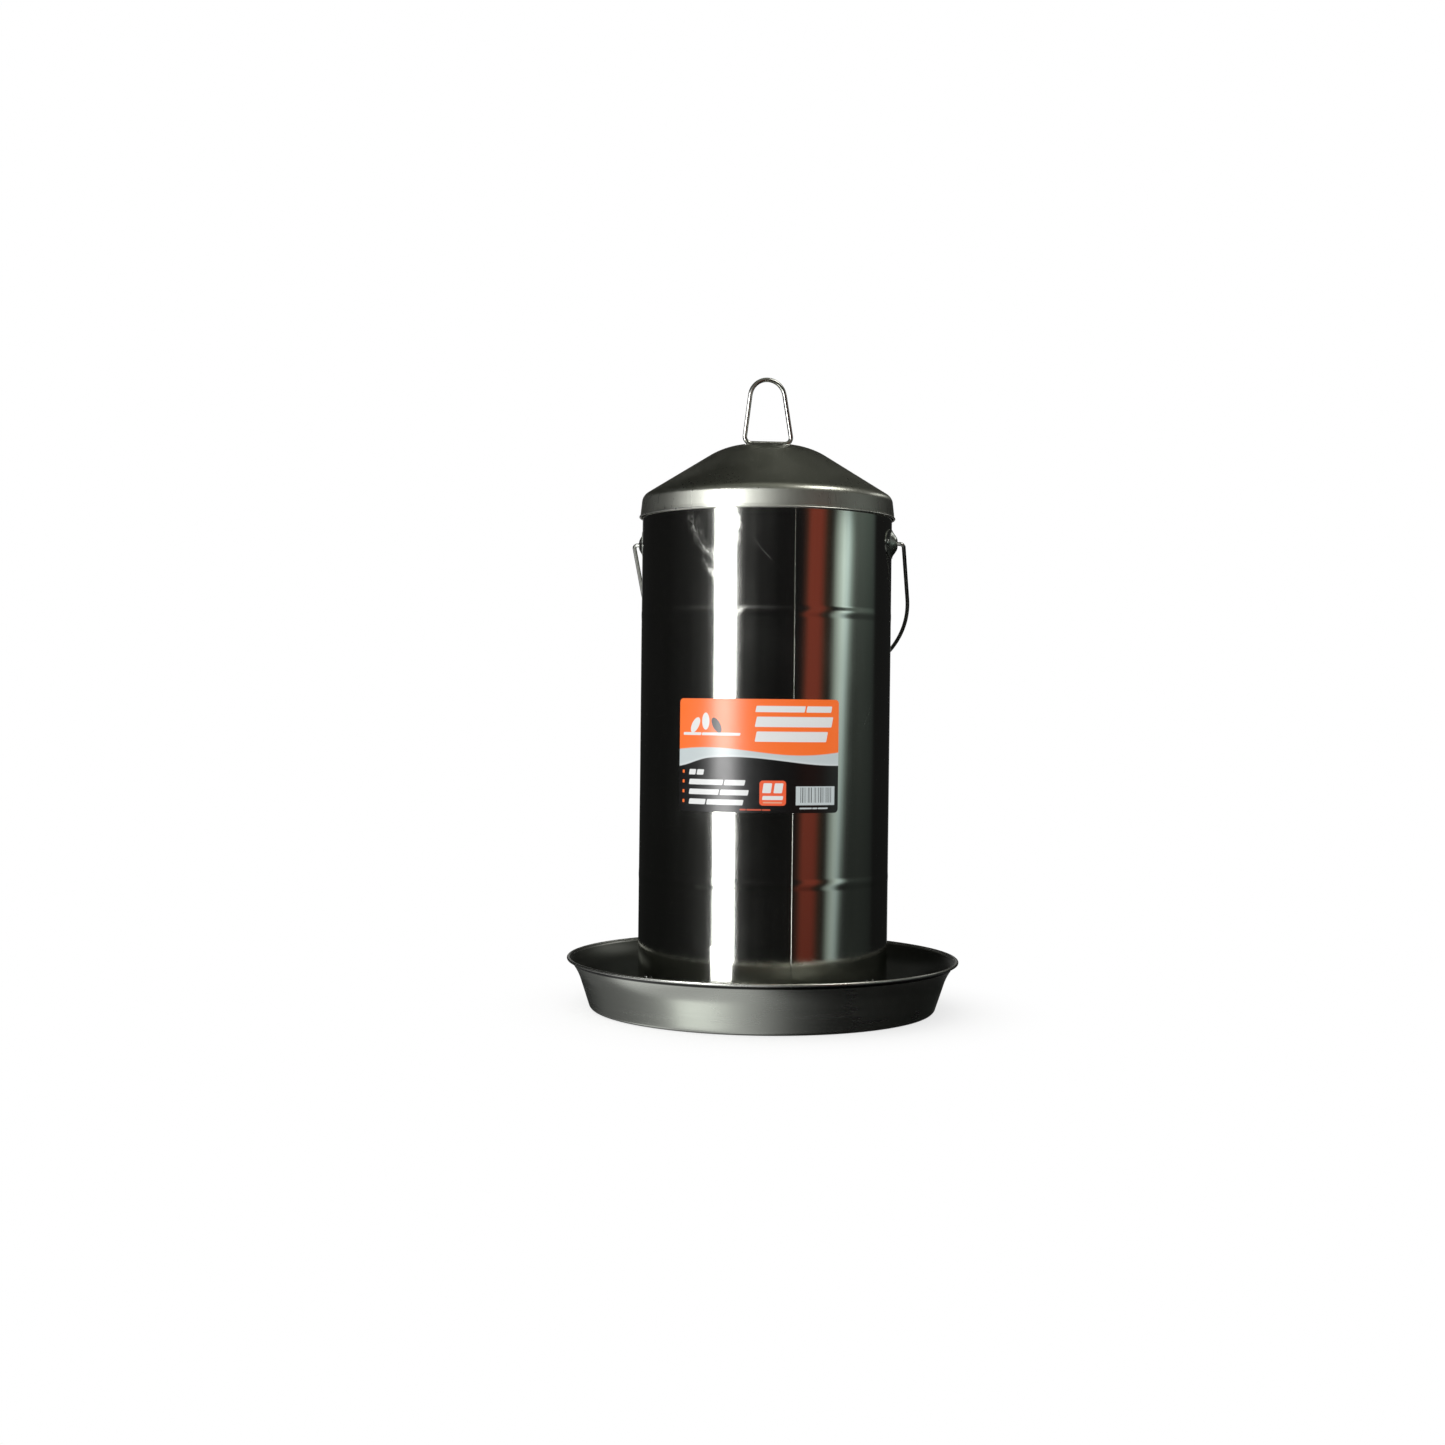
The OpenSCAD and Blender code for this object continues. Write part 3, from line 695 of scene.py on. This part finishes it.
def steel(name, tint, rough, grain, grain_scale, bump, anisotropy, marks=None):
    """Stainless sheet or wire. grain is "upright", "round" (about the axis) or "fine"."""
    material, t = new_material(name)
    place = t.add("ShaderNodeTexCoord").outputs["Object"]
    x, y, z = t.split(place)
    radius = t.length(x, y)
    squash = 0.012
    if grain == "upright":
        lines = t.vector(x, y, t.math("MULTIPLY", z, squash))
    elif grain == "round":
        lines = t.vector(t.math("MULTIPLY", x, squash * 2), t.math("MULTIPLY", y, squash * 2),
                         t.math("ADD", radius, z))
    else:
        lines = place
    coarse = t.noise(lines, grain_scale * 0.25, 3, 0.6)
    fine = t.noise(lines, grain_scale, 2, 0.7)
    cloud = t.noise(place, 9, 3, 0.55)
    # Roughness wanders with the grain and with faint handling haze, less so on drawn and pressed pieces
    uneven = {"fine": 0.2, "round": 0.35, "upright": 0.7}[grain]
    wander = t.math("MULTIPLY_ADD", t.math("SUBTRACT", coarse, 0.5), rough * uneven, rough)
    wander = t.math("MULTIPLY_ADD", t.step(cloud, 0.45, 0.75), rough * uneven / 2, wander)
    shade = t.math("MULTIPLY_ADD", t.math("SUBTRACT", fine, 0.5), uneven * 0.14, 0.97)
    shade = t.math("MULTIPLY_ADD", t.math("SUBTRACT", cloud, 0.5), 0.06, shade)
    colour = t.mix(shade, (0, 0, 0, 1), colour_of(tint))
    # marks may change roughness and colour; for the pan and the lid it paints shade and highlights into the
    # colour
    if marks:
        wander, colour = marks(t, place, wander, colour)
    height = t.math("ADD", t.math("MULTIPLY", coarse, 0.7), t.math("MULTIPLY", fine, 0.3))
    normal = t.add("ShaderNodeBump", {"Strength": bump, "Distance": 0.0002, "Height": height}).outputs[0]
    shader = t.add("ShaderNodeBsdfPrincipled", {"Base Color": colour, "Metallic": 1.0, "Roughness": wander,
                                                "Normal": normal, "Anisotropic": anisotropy})
    if anisotropy:
        tangent = t.add("ShaderNodeTangent", direction_type="RADIAL", axis="Z").outputs[0]
        t.put(shader.inputs["Tangent"], tangent)
    t.finish("ShaderNodeOutputMaterial", shader)
    return material


def around(t, place):
    """Distance round the drum from -Y towards +X, and height, both in metres."""
    x, y, z = t.split(place)
    angle = t.math("ARCTAN2", x, t.math("MULTIPLY", y, -1))
    return t.math("MULTIPLY", angle, DRUM_R), z


def drum_marks(t, place, rough, colour):
    """Wiping marks and finger smudges in the polish, most of them under the lid at the left of the label."""
    u, z = around(t, place)

    def patch(turn, height, wide, tall, slope, line_scale, stretch):
        """A soft oval patch of fine parallel scratches at an angle."""
        du = t.math("SUBTRACT", u, math.radians(turn) * DRUM_R)
        dz = t.math("SUBTRACT", z, height)
        along, across = t.turned(du, dz, slope)
        reach = t.length(t.math("DIVIDE", along, wide), t.math("DIVIDE", across, tall))
        lines = t.noise(t.vector(t.math("MULTIPLY", along, stretch), across, 0.0), line_scale, 4, 0.7)
        cloud = t.noise(t.vector(along, across, 0.3), 90, 3, 0.6)
        mask = t.math("MULTIPLY", t.step(reach, 1.0, 0.1), t.step(lines, 0.32, 0.80))
        return t.math("MULTIPLY", mask, t.step(cloud, 0.30, 0.65))

    total = 0.0
    for turn, height, wide, tall, slope, scale, stretch in (
            (-19, 0.462, 0.030, 0.008, math.radians(-48), 900, 0.10),
            (-16, 0.440, 0.022, 0.006, math.radians(-52), 900, 0.10),
            (-24, 0.482, 0.026, 0.012, math.radians(-70), 500, 0.25),
            (-4, 0.478, 0.026, 0.010, math.radians(80), 300, 0.40),
            (-2, 0.400, 0.014, 0.006, math.radians(25), 700, 0.15),
            (9, 0.455, 0.030, 0.0012, math.radians(-48), 700, 0.05),
            (62, 0.30, 0.040, 0.010, math.radians(65), 800, 0.10),
            (150, 0.33, 0.050, 0.012, math.radians(-55), 800, 0.10),
            (205, 0.42, 0.045, 0.015, math.radians(-30), 600, 0.12),
            (-80, 0.25, 0.045, 0.012, math.radians(50), 800, 0.10),
            (-130, 0.12, 0.050, 0.014, math.radians(-40), 700, 0.12)):
        mark = patch(turn, height, wide, tall, slope, scale, stretch)
        total = t.math("MAXIMUM", total, mark)
    rough = t.math("MULTIPLY_ADD", total, 0.34, rough)
    return rough, colour


def pan_painted_shade_and_highlight(t, place, rough, colour):
    """The pan's inside is duller than its outside, with painted shade darkening the inside and the gap under
    the rim, and a painted highlight brightening the rim.
    """
    x, y, z = t.split(place)
    radius = t.length(x, y)
    side_start_z = PAN_BEND * (1 - math.sin(PAN_LEAN))
    knee_r = PAN_FOOT_R + PAN_BEND * math.cos(PAN_LEAN) + (PAN_FLARE_Z - side_start_z) * math.tan(PAN_LEAN)
    # The outer face: a straight line, and a curve of this strength (per metre) above the knee
    flare_curve = 13.1
    up = t.math("SUBTRACT", z, PAN_FLARE_Z)
    flared = t.math("MAXIMUM", up, 0.0)
    outer = t.math("MULTIPLY_ADD", t.math("MULTIPLY", flared, flared), flare_curve,
                   t.math("MULTIPLY_ADD", up, math.tan(PAN_LEAN), knee_r))
    out_by = t.math("SUBTRACT", radius, outer)
    inside = t.step(out_by, -PAN_SHEET * 0.4, -PAN_SHEET * 0.7)
    on_rim = t.step(z, PAN_LIP_Z - 1.2 * MM, PAN_LIP_Z)
    inside = t.math("MULTIPLY", inside, t.math("SUBTRACT", 1.0, on_rim))
    # Painted shade: the inside's colour is darkened towards black.
    colour = t.mix(t.math("MULTIPLY", inside, 0.66), colour, (0, 0, 0, 1))
    rough = t.math("MULTIPLY_ADD", inside, 0.07, rough)
    # Painted shade: a dark band on the outer face in the gap under the rolled rim.
    painted_rim_gap_shade = t.math("MULTIPLY", t.step(z, PAN_LIP_Z - 4.4 * MM, PAN_LIP_Z - 3.2 * MM),
                    t.step(z, PAN_LIP_Z - 0.1 * MM, PAN_LIP_Z - 0.6 * MM))
    painted_rim_gap_shade = t.math("MULTIPLY", painted_rim_gap_shade, t.step(out_by, -PAN_SHEET * 0.7, -PAN_SHEET * 0.4))
    colour = t.mix(t.math("MULTIPLY", painted_rim_gap_shade, 0.95), colour, (0, 0, 0, 1))
    # Painted highlight: the rim's colour is brightened towards pale grey.
    colour = t.mix(t.math("MULTIPLY", on_rim, 0.6), colour, (0.9, 0.9, 0.86, 1))
    return rough, colour


def lid_bead_painted_highlight(t, place, rough, colour):
    """The bead round the skirt's lower edge has its colour brightened as a painted highlight."""
    z = t.split(place)[2]
    bead = t.step(z, SKIRT_Z + 1.1 * MM, SKIRT_Z + 0.5 * MM)
    # Painted highlight: the bead's colour is brightened towards pale grey.
    return rough, t.mix(t.math("MULTIPLY", bead, 0.8), colour, (0.95, 0.95, 0.90, 1))


def label_material():
    """A printed sticker: orange over black with a pale wave, and plain blocks in place of print."""
    material, t = new_material("label_print")
    place = t.add("ShaderNodeTexCoord").outputs["Object"]
    u, z = around(t, place)
    wide, tall = LABEL_W, LABEL_HIGH - LABEL_LOW
    # x runs from 0 at the left edge to 1 at the right edge, y from 0 at the foot to 1 at the top
    x = t.math("ADD", t.math("DIVIDE", t.math("SUBTRACT", u, LABEL_TURN * DRUM_R), wide), 0.5)
    y = t.math("DIVIDE", t.math("SUBTRACT", z, LABEL_LOW), tall)
    ratio = wide / tall
    soft = 0.004
    orange = (0.97, 0.155, 0.006)
    pale = (0.52, 0.58, 0.585)
    white = (0.74, 0.75, 0.74)
    ink_black = (0.002, 0.002, 0.002)

    def over(base, ink, mask):
        return t.mix(mask, base, colour_of(ink))

    def box(x0, x1, y0, y1, slant=0.0, corner=0.008):
        """A block with rounded corners; slant leans it to the right. Sizes are shares of the label."""
        lean = t.math("MULTIPLY_ADD", t.math("SUBTRACT", y, (y0 + y1) / 2), -slant / ratio, x)
        dx = t.math("SUBTRACT", t.math("ABSOLUTE", t.math("SUBTRACT", lean, (x0 + x1) / 2)), (x1 - x0) / 2)
        dy = t.math("SUBTRACT", t.math("ABSOLUTE", t.math("SUBTRACT", y, (y0 + y1) / 2)), (y1 - y0) / 2)
        dx = t.math("MAXIMUM", t.math("MULTIPLY_ADD", dx, ratio, corner), 0.0)
        dy = t.math("MAXIMUM", t.math("ADD", dy, corner), 0.0)
        reach = t.length(dx, dy)
        return t.step(reach, corner + soft / 2, corner - soft / 2)

    def oval(cx, cy, rx, ry, turn):
        dx = t.math("MULTIPLY", t.math("SUBTRACT", x, cx), ratio)
        dy = t.math("SUBTRACT", y, cy)
        along, across = t.turned(dx, dy, turn)
        reach = t.length(t.math("DIVIDE", along, rx), t.math("DIVIDE", across, ry))
        return t.step(reach, 1.04, 0.96)

    def words(base, ink, x0, x1, y0, y1, shares, slant=0.2):
        """A line of plain blocks, one for each word, whose widths are shares of the line."""
        gap = 0.28 * (y1 - y0) / ratio
        room = x1 - x0 - gap * (len(shares) - 1)
        left = x0
        for share in shares:
            right = left + room * share / sum(shares)
            base = over(base, ink, box(left, right, y0, y1, slant))
            left = right + gap
        return base

    # The pale band lies between two waves
    swing = t.math("SINE", t.math("MULTIPLY_ADD", x, 2 * math.pi * 0.92, 0.35))
    band_top = t.math("MULTIPLY_ADD", swing, 0.032, 0.538)
    rise = t.math("SINE", t.math("MULTIPLY_ADD", x, 2 * math.pi * 0.80, -0.25))
    taper = t.math("MULTIPLY", t.step(x, 0.22, 0.0), -0.045)
    band_foot = t.math("ADD", t.math("MULTIPLY_ADD", rise, 0.036, 0.452), taper)
    colour = over(colour_of(ink_black), pale, t.step(t.math("SUBTRACT", y, band_foot), -soft, soft))
    edge_shade = t.step(t.math("SUBTRACT", y, band_foot), 0.0, 0.03)
    edge_light = t.math("MULTIPLY", t.math("SUBTRACT", 1.0, edge_shade), 0.35)
    colour = over(colour, (0.80, 0.83, 0.83), edge_light)
    colour = over(colour, ink_black, t.step(t.math("SUBTRACT", y, band_foot), soft, -soft))
    colour = over(colour, orange, t.step(t.math("SUBTRACT", y, band_top), -soft, soft))
    # Upper left: a plain mark of three grains over a bar
    for cx, cy, turn, ink in (
            (0.115, 0.765, 60, white), (0.185, 0.80, 90, white), (0.255, 0.765, 120, ink_black)):
        colour = over(colour, ink, oval(cx, cy, 0.075, 0.036, math.radians(turn)))
    colour = words(colour, white, 0.03, 0.40, 0.675, 0.70, (1.0, 1.9))
    # Upper right: three title lines
    colour = words(colour, white, 0.49, 0.95, 0.885, 0.94, (9, 5))
    colour = words(colour, white, 0.49, 0.955, 0.755, 0.845, (1,))
    colour = words(colour, white, 0.49, 0.92, 0.625, 0.715, (1,))
    # Lower left: four listed points
    for row, shares, end in ((0, (2, 2), 0.175), (1, (9, 5), 0.43), (2, (7, 6), 0.45), (3, (4, 8), 0.42)):
        foot = 0.325 - row * 0.087
        colour = over(colour, orange, box(0.025, 0.040, foot + 0.012, foot + 0.040, 0.0, 0.006))
        colour = words(colour, white, 0.075, end, foot, foot + 0.048, shares)
    # Lower middle: a plain badge
    colour = over(colour, (0.86, 0.10, 0.02), box(0.515, 0.670, 0.065, 0.285, 0.0, 0.03))
    colour = words(colour, white, 0.535, 0.65, 0.175, 0.262, (1, 1), 0.15)
    colour = words(colour, white, 0.532, 0.652, 0.115, 0.150, (1,), 0.15)
    colour = words(colour, (0.80, 0.35, 0.22), 0.535, 0.648, 0.085, 0.098, (1,), 0.1)
    # Lower right: a stripe block
    block = box(0.728, 0.975, 0.070, 0.235, 0.0, 0.002)
    colour = over(colour, pale, block)
    bars = t.noise(t.vector(x, 0.0, 0.0), 150, 1, 0.5)
    stripes = t.math("MULTIPLY", t.step(bars, 0.50, 0.53), box(0.755, 0.955, 0.092, 0.225, 0.0, 0.001))
    colour = over(colour, ink_black, stripes)
    colour = words(colour, pale, 0.75, 0.93, 0.035, 0.048, (7, 3, 6), 0.1)
    colour = words(colour, (0.55, 0.07, 0.02), 0.40, 0.58, 0.020, 0.034, (3, 7, 4), 0.1)
    # Ink lies a little unevenly, and the film has a faint orange-peel surface
    spots = t.noise(place, 700, 3, 0.6)
    shade = t.math("MULTIPLY_ADD", t.math("SUBTRACT", spots, 0.5), 0.10, 1.0)
    colour = t.mix(shade, (0, 0, 0, 1), colour)
    peel = t.noise(place, 420, 2, 0.5)
    rough = t.math("MULTIPLY_ADD", t.noise(place, 60, 3, 0.6), 0.10, 0.26)
    normal = t.add("ShaderNodeBump", {"Strength": 0.10, "Distance": 0.0002, "Height": peel}).outputs[0]
    shader = t.add("ShaderNodeBsdfPrincipled", {"Base Color": colour, "Roughness": rough, "Normal": normal,
                                                "Specular IOR Level": 0.85})
    t.finish("ShaderNodeOutputMaterial", shader)
    return material


def paint(piece, material):
    """Gives the whole piece one material. A CAD node keeps its mesh and only changes its slots."""
    if not piece.material_slots:
        piece.data.materials.append(material)
    for slot in piece.material_slots:
        slot.material = material


# ---- surroundings

CAMERA_TURN = 0.17          # radians from -Y towards +X
CAMERA_AWAY = 1.95
CAMERA_Z = 0.3075
CAMERA_YAW = math.radians(1.2725)
CAMERA_PITCH = math.radians(0.5)
CAMERA_ROLL = math.radians(0.64)
CAMERA_LENS = 47.53

right_of = Vector((math.cos(CAMERA_TURN), math.sin(CAMERA_TURN), 0))
towards = Vector((math.sin(CAMERA_TURN), -math.cos(CAMERA_TURN), 0))
UP = Vector((0, 0, 1))


def make_camera():
    data = bpy.data.cameras.new("camera")
    data.lens = CAMERA_LENS
    data.sensor_width = 36
    data.clip_start = 0.01
    data.clip_end = 100
    camera = bpy.data.objects.new("camera", data)
    bpy.context.scene.collection.objects.link(camera)
    away = -towards
    look = (-math.sin(CAMERA_YAW) * math.cos(CAMERA_PITCH) * right_of
            + math.cos(CAMERA_YAW) * math.cos(CAMERA_PITCH) * away - math.sin(CAMERA_PITCH) * UP)
    flat_right = look.cross(UP).normalized()
    flat_up = flat_right.cross(look)
    right = math.cos(CAMERA_ROLL) * flat_right + math.sin(CAMERA_ROLL) * flat_up
    up = math.cos(CAMERA_ROLL) * flat_up - math.sin(CAMERA_ROLL) * flat_right
    turn = Matrix((right, up, -look)).transposed().to_4x4()
    camera.matrix_world = Matrix.Translation(towards * CAMERA_AWAY + UP * CAMERA_Z) @ turn
    bpy.context.scene.camera = camera


def direction(turn, rise):
    """Unit direction at an angle from the front view towards the right, and a rise, both in degrees."""
    a, e = math.radians(turn), math.radians(rise)
    return math.cos(e) * (math.cos(a) * towards + math.sin(a) * right_of) + math.sin(e) * UP


def area_light(name, turn, rise, away, aim_z, width, height, radiance, colour=(1, 1, 1), lean=0):
    """A rectangle of light that only shows as a reflection. lean tips its top to the left, in degrees."""
    data = bpy.data.lights.new(name, "AREA")
    data.shape = "RECTANGLE"
    data.size = width
    data.size_y = height
    data.energy = radiance * width * height * math.pi
    data.color = colour
    light = bpy.data.objects.new(name, data)
    bpy.context.scene.collection.objects.link(light)
    way = direction(turn, rise)
    turned_in = way.to_track_quat("Z", "Y").to_matrix().to_4x4() @ Matrix.Rotation(math.radians(lean), 4, "Z")
    light.matrix_world = Matrix.Translation(UP * aim_z + way * away) @ turned_in
    light.visible_camera = False
    light.visible_diffuse = False
    return light


STRIP_AWAY = 2.4
STRIP_LEAN = 5
STRIP_W = 2 * STRIP_AWAY * math.tan(math.radians(9.2))


def make_lights():
    area_light("tall_strip", -36.5, 0, STRIP_AWAY, 0.55, STRIP_W, 1.75, 9.0, lean=STRIP_LEAN)
    area_light("low_strip", -41, 0, STRIP_AWAY, -1.25, STRIP_W * 2.35, 1.70, 1.18, (0.96, 1.0, 0.94))
    # A small card inside the pan carries the white upright down to the rim in the drum's reflection. It is
    # tipped down and shines in a narrow cone, which keeps it out of reflections from higher or from the side
    card = area_light("white_card", -37, 17, 0.047, 0.060, 0.037, 0.037, 2.4)
    card.data.spread = math.radians(60)
    card.location = direction(-18, 0) * DRUM_R + direction(-37, -8) * 0.047 + UP * 0.060
    area_light("high_box", 66, 52, 2.2, 0.3, 1.0, 0.6, 4.6, (1.0, 0.98, 0.93))
    area_light("high_side", 128, 28, 2.2, 0.3, 0.9, 0.25, 1.5, (1.0, 1.0, 0.96))


def make_world():
    """White behind the object, even soft light on print and floor, and a dark studio in reflections."""
    world = bpy.data.worlds.new("studio")
    world.use_nodes = True
    world.cycles.sampling_method = "NONE"
    bpy.context.scene.world = world
    t = Tree(world.node_tree)
    way = t.add("ShaderNodeTexCoord").outputs["Generated"]
    x, y, z = t.split(way)
    across = t.math("ADD", t.math("MULTIPLY", x, right_of.x), t.math("MULTIPLY", y, right_of.y))
    ahead = t.math("ADD", t.math("MULTIPLY", x, towards.x), t.math("MULTIPLY", y, towards.y))
    turn = t.math("MULTIPLY", t.math("ARCTAN2", across, ahead), 180 / math.pi)
    rise = t.math("MULTIPLY", t.math("ARCSINE", z), 180 / math.pi)

    def round_ramp(angle, stops):
        share = t.math("MULTIPLY_ADD", angle, 1 / 360, 0.5)
        return t.ramp(share, [(a / 360 + 0.5, c) for a, c in stops])

    # At the height of the drum: dark, with a red upright
    slid = t.math("MULTIPLY_ADD", rise, -0.55, turn)
    level = round_ramp(slid, [
        (-180, 0.30), (-171, 0.30), (-168, 0.015), (-132, 0.010), (-100, 0.009),
        (-75, 0.014), (-60, 0.025), (-16, 0.025), (-8, 0.014), (10, 0.008), (30, 0.011),
        (34, (0.06, 0.028, 0.02)), (38, (0.25, 0.052, 0.032)), (48, (0.24, 0.048, 0.03)),
        (54, (0.045, 0.03, 0.02)), (60, 0.012), (168, 0.012), (171, 0.24), (180, 0.30)])
    fade = t.step(rise, -16, 4, 0.35, 1.0)
    level = t.mix(fade, (0.006, 0.007, 0.006, 1), level)
    # A pale upright to the right of it, that narrows and fades downwards and ends in a round top
    narrow = t.add("ShaderNodeMapRange", {"Value": rise, "From Min": -7.0, "From Max": 5.5, "To Min": 0.68,
                                          "To Max": 0.96}).outputs[0]
    into = t.math("DIVIDE", t.math("SUBTRACT", slid, 58.5), narrow)
    pale = t.ramp(t.math("DIVIDE", into, 40.0), [
        (0.0, 0.0), (0.06, (0.06, 0.06, 0.05)), (0.20, (0.38, 0.45, 0.40)), (0.35, (0.66, 0.79, 0.73)),
        (0.48, (0.56, 0.69, 0.67)), (0.63, (0.16, 0.20, 0.18)), (0.75, (0.03, 0.03, 0.03)), (0.9, 0.0)])
    beside = round_ramp(turn, [(72, 0.0), (82, (0.055, 0.07, 0.06)), (96, (0.07, 0.085, 0.075)),
                               (108, (0.052, 0.067, 0.058)), (114, (0.04, 0.05, 0.045)), (119, 0.0)])
    off_middle = t.math("DIVIDE", t.math("SUBTRACT", into, 14.0), 14.0)
    rounded = t.math("MULTIPLY_ADD", t.math("MULTIPLY", off_middle, off_middle), 0.4, rise)
    pale = t.mix(t.step(rounded, 5.6, 6.1), pale, (0, 0, 0, 1))
    weight = t.ramp(t.math("MULTIPLY_ADD", rise, 0.05, 0.5), [
        (0.10, 0.33), (0.30, 0.40), (0.58, 0.58), (0.725, 0.86), (0.80, 1.0)])
    beside = t.scale_colour(beside, weight, 1.0)
    uprights = t.scale_colour(t.mix(1.0, pale, beside, "ADD"), weight, 1.65)
    level = t.mix(1.0, level, uprights, "ADD")
    # Above it, where the lid's skirt looks
    upper = round_ramp(turn, [
        (-180, 0.02), (-150, 0.06), (-130, 0.28), (-112, 0.42), (-98, 0.48), (-86, 1.1), (-75, 1.8),
        (-60, 2.0), (-15, 1.8), (-6, 1.5), (2, 0.80), (10, 0.40), (20, 0.20), (32, 0.11), (45, 0.075),
        (62, 0.08), (80, 0.14), (96, 0.24), (120, 0.16), (150, 0.025), (180, 0.02)])
    # Below it, where the pan's side looks
    lower = round_ramp(turn, [
        (-180, 0.03), (-150, 0.09), (-110, 0.15), (-75, 0.24), (-40, 0.34), (-12, 0.24), (8, 0.12),
        (28, 0.04), (55, 0.010), (120, 0.006), (180, 0.02)])
    # Steeply below, where the pan's flare looks
    steep = round_ramp(turn, [
        (-180, 0.10), (-150, 0.75), (-127, 0.90), (-105, 0.60), (-88, 0.48), (-40, 0.60), (-12, 0.50),
        (0, 0.35), (24, 0.08), (51, 0.015), (81, 0.005), (120, 0.005), (180, 0.03)])
    # Overhead, dim behind and over the left. The ramps run from the horizon at 0 to straight up at 1
    lift = t.math("DIVIDE", rise, 90)
    behind = t.ramp(lift, [(0.2, 0.03), (0.5, 0.045), (0.65, 0.10), (0.8, 0.135), (1.0, 0.26)])
    behind = t.scale_colour(behind, t.step(across, -0.4, 0.5, 0.25, 1.0), 1.0)
    in_front = t.ramp(lift, [(0.2, 0.10), (0.5, 0.16), (0.7, 0.20), (0.88, 0.26), (1.0, 0.26)])
    in_front = t.scale_colour(in_front, t.step(across, -0.9, 0.3, 0.5, 1.0), 1.0)
    overhead = t.mix(t.step(ahead, -0.15, 0.25), behind, in_front)
    tinted_top = t.scale_colour(overhead, (1.0, 1.02, 0.86), 1.0)
    # The bright part reaches less far up at the sides than in front
    aside = t.math("MAXIMUM", t.step(turn, -50, -112, 0.0, 10.0), t.step(turn, 62, 125, 0.0, 10.0))
    raised = t.math("ADD", rise, aside)
    studio = t.mix(t.step(rise, 9, 15), level, upper)
    studio = t.mix(t.step(raised, 21, 26), studio, tinted_top)
    studio = t.mix(t.step(rise, -14, -24), studio, lower)
    studio = t.mix(t.step(rise, -36, -45), studio, steep)
    # Soft light on print and floor comes mostly from the left, in front and above
    window = direction(-70, 25)
    facing = t.add("ShaderNodeVectorMath", {0: way, 1: window}, operation="DOT_PRODUCT").outputs["Value"]
    soft = t.math("MULTIPLY_ADD", facing, 0.81, 0.81)
    ray = t.add("ShaderNodeLightPath").outputs
    plain = t.mix(ray["Is Diffuse Ray"], (1.0, 1.0, 1.0, 1), t.vector(soft, soft, soft))
    seen = t.mix(ray["Is Glossy Ray"], plain, studio)
    background = t.add("ShaderNodeBackground", {"Color": seen, "Strength": 1.0})
    t.finish("ShaderNodeOutputWorld", background)


def make_floor():
    """A plain pale floor that fades into the white behind."""
    half = 8.0
    mesh = bpy.data.meshes.new("floor")
    corners = [(-half, -half, 0), (half, -half, 0), (half, half, 0), (-half, half, 0)]
    mesh.from_pydata(corners, [], [(0, 1, 2, 3)])
    floor = bpy.data.objects.new("floor", mesh)
    bpy.context.scene.collection.objects.link(floor)
    floor.location.z = -0.0002
    material, t = new_material("floor")
    x, y = t.split(t.add("ShaderNodeTexCoord").outputs["Object"])[:2]
    reach = t.length(x, y)
    matt = t.add("ShaderNodeBsdfDiffuse", {"Color": (0.93, 0.93, 0.92, 1)})
    glow = t.add("ShaderNodeEmission", {"Color": (1, 1, 1, 1), "Strength": 1.0})
    mixed = t.add("ShaderNodeMixShader", {"Fac": t.step(reach, 0.16, 0.30, 0.72, 1.0),
                                          1: matt.outputs[0], 2: glow.outputs[0]})
    t.finish("ShaderNodeOutputMaterial", mixed)
    paint(floor, material)
    floor.visible_glossy = False
    floor.visible_shadow = False


# ---- making it

make_camera()
make_world()
make_lights()
make_floor()

drum_steel = steel("drum_steel", (0.64, 0.645, 0.60), 0.10, "upright", 900, 0.05, 0.0, drum_marks)
lid_steel = steel("lid_steel", (0.60, 0.61, 0.55), 0.30, "upright", 1300, 0.07, 0.25, lid_bead_painted_highlight)
pan_steel = steel("pan_steel", (0.58, 0.60, 0.55), 0.26, "round", 900, 0.06, 0.25, pan_painted_shade_and_highlight)
ear_steel = steel("ear_steel", (0.58, 0.61, 0.57), 0.24, "fine", 400, 0.02, 0.0)
inner_steel = steel("inner_steel", (0.60, 0.60, 0.57), 0.33, "round", 600, 0.10, 0.0)
wire_steel = steel("wire_steel", (0.62, 0.63, 0.59), 0.17, "fine", 400, 0.02, 0.0)
fastener_steel = steel("fastener_steel", (0.66, 0.66, 0.63), 0.22, "fine", 500, 0.06, 0.0)
label_print = label_material()

paint(make_drum(), drum_steel)
paint(make_label(), label_print)
paint(make_ear("right_ear", "ear_right", 1), ear_steel)
paint(make_ear("left_ear", "ear_left", -1), ear_steel)
paint(make_pan(), pan_steel)
paint(make_cone(), inner_steel)
paint(make_lid(), lid_steel)
paint(make_loop(), wire_steel)
paint(make_loop_welds(), wire_steel)
paint(make_bail(), wire_steel)
for index in (1, 2, 3):
    paint(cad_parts[f"bracket_{index}"], inner_steel)
for name in ("cone_rivets", "ear_rivets", "bracket_rivets", "foot_screws", "foot_washers", "foot_nuts"):
    paint(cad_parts[name], fastener_steel)

bpy.context.scene.view_settings.view_transform = "Standard"
bpy.context.scene.view_settings.look = "None"
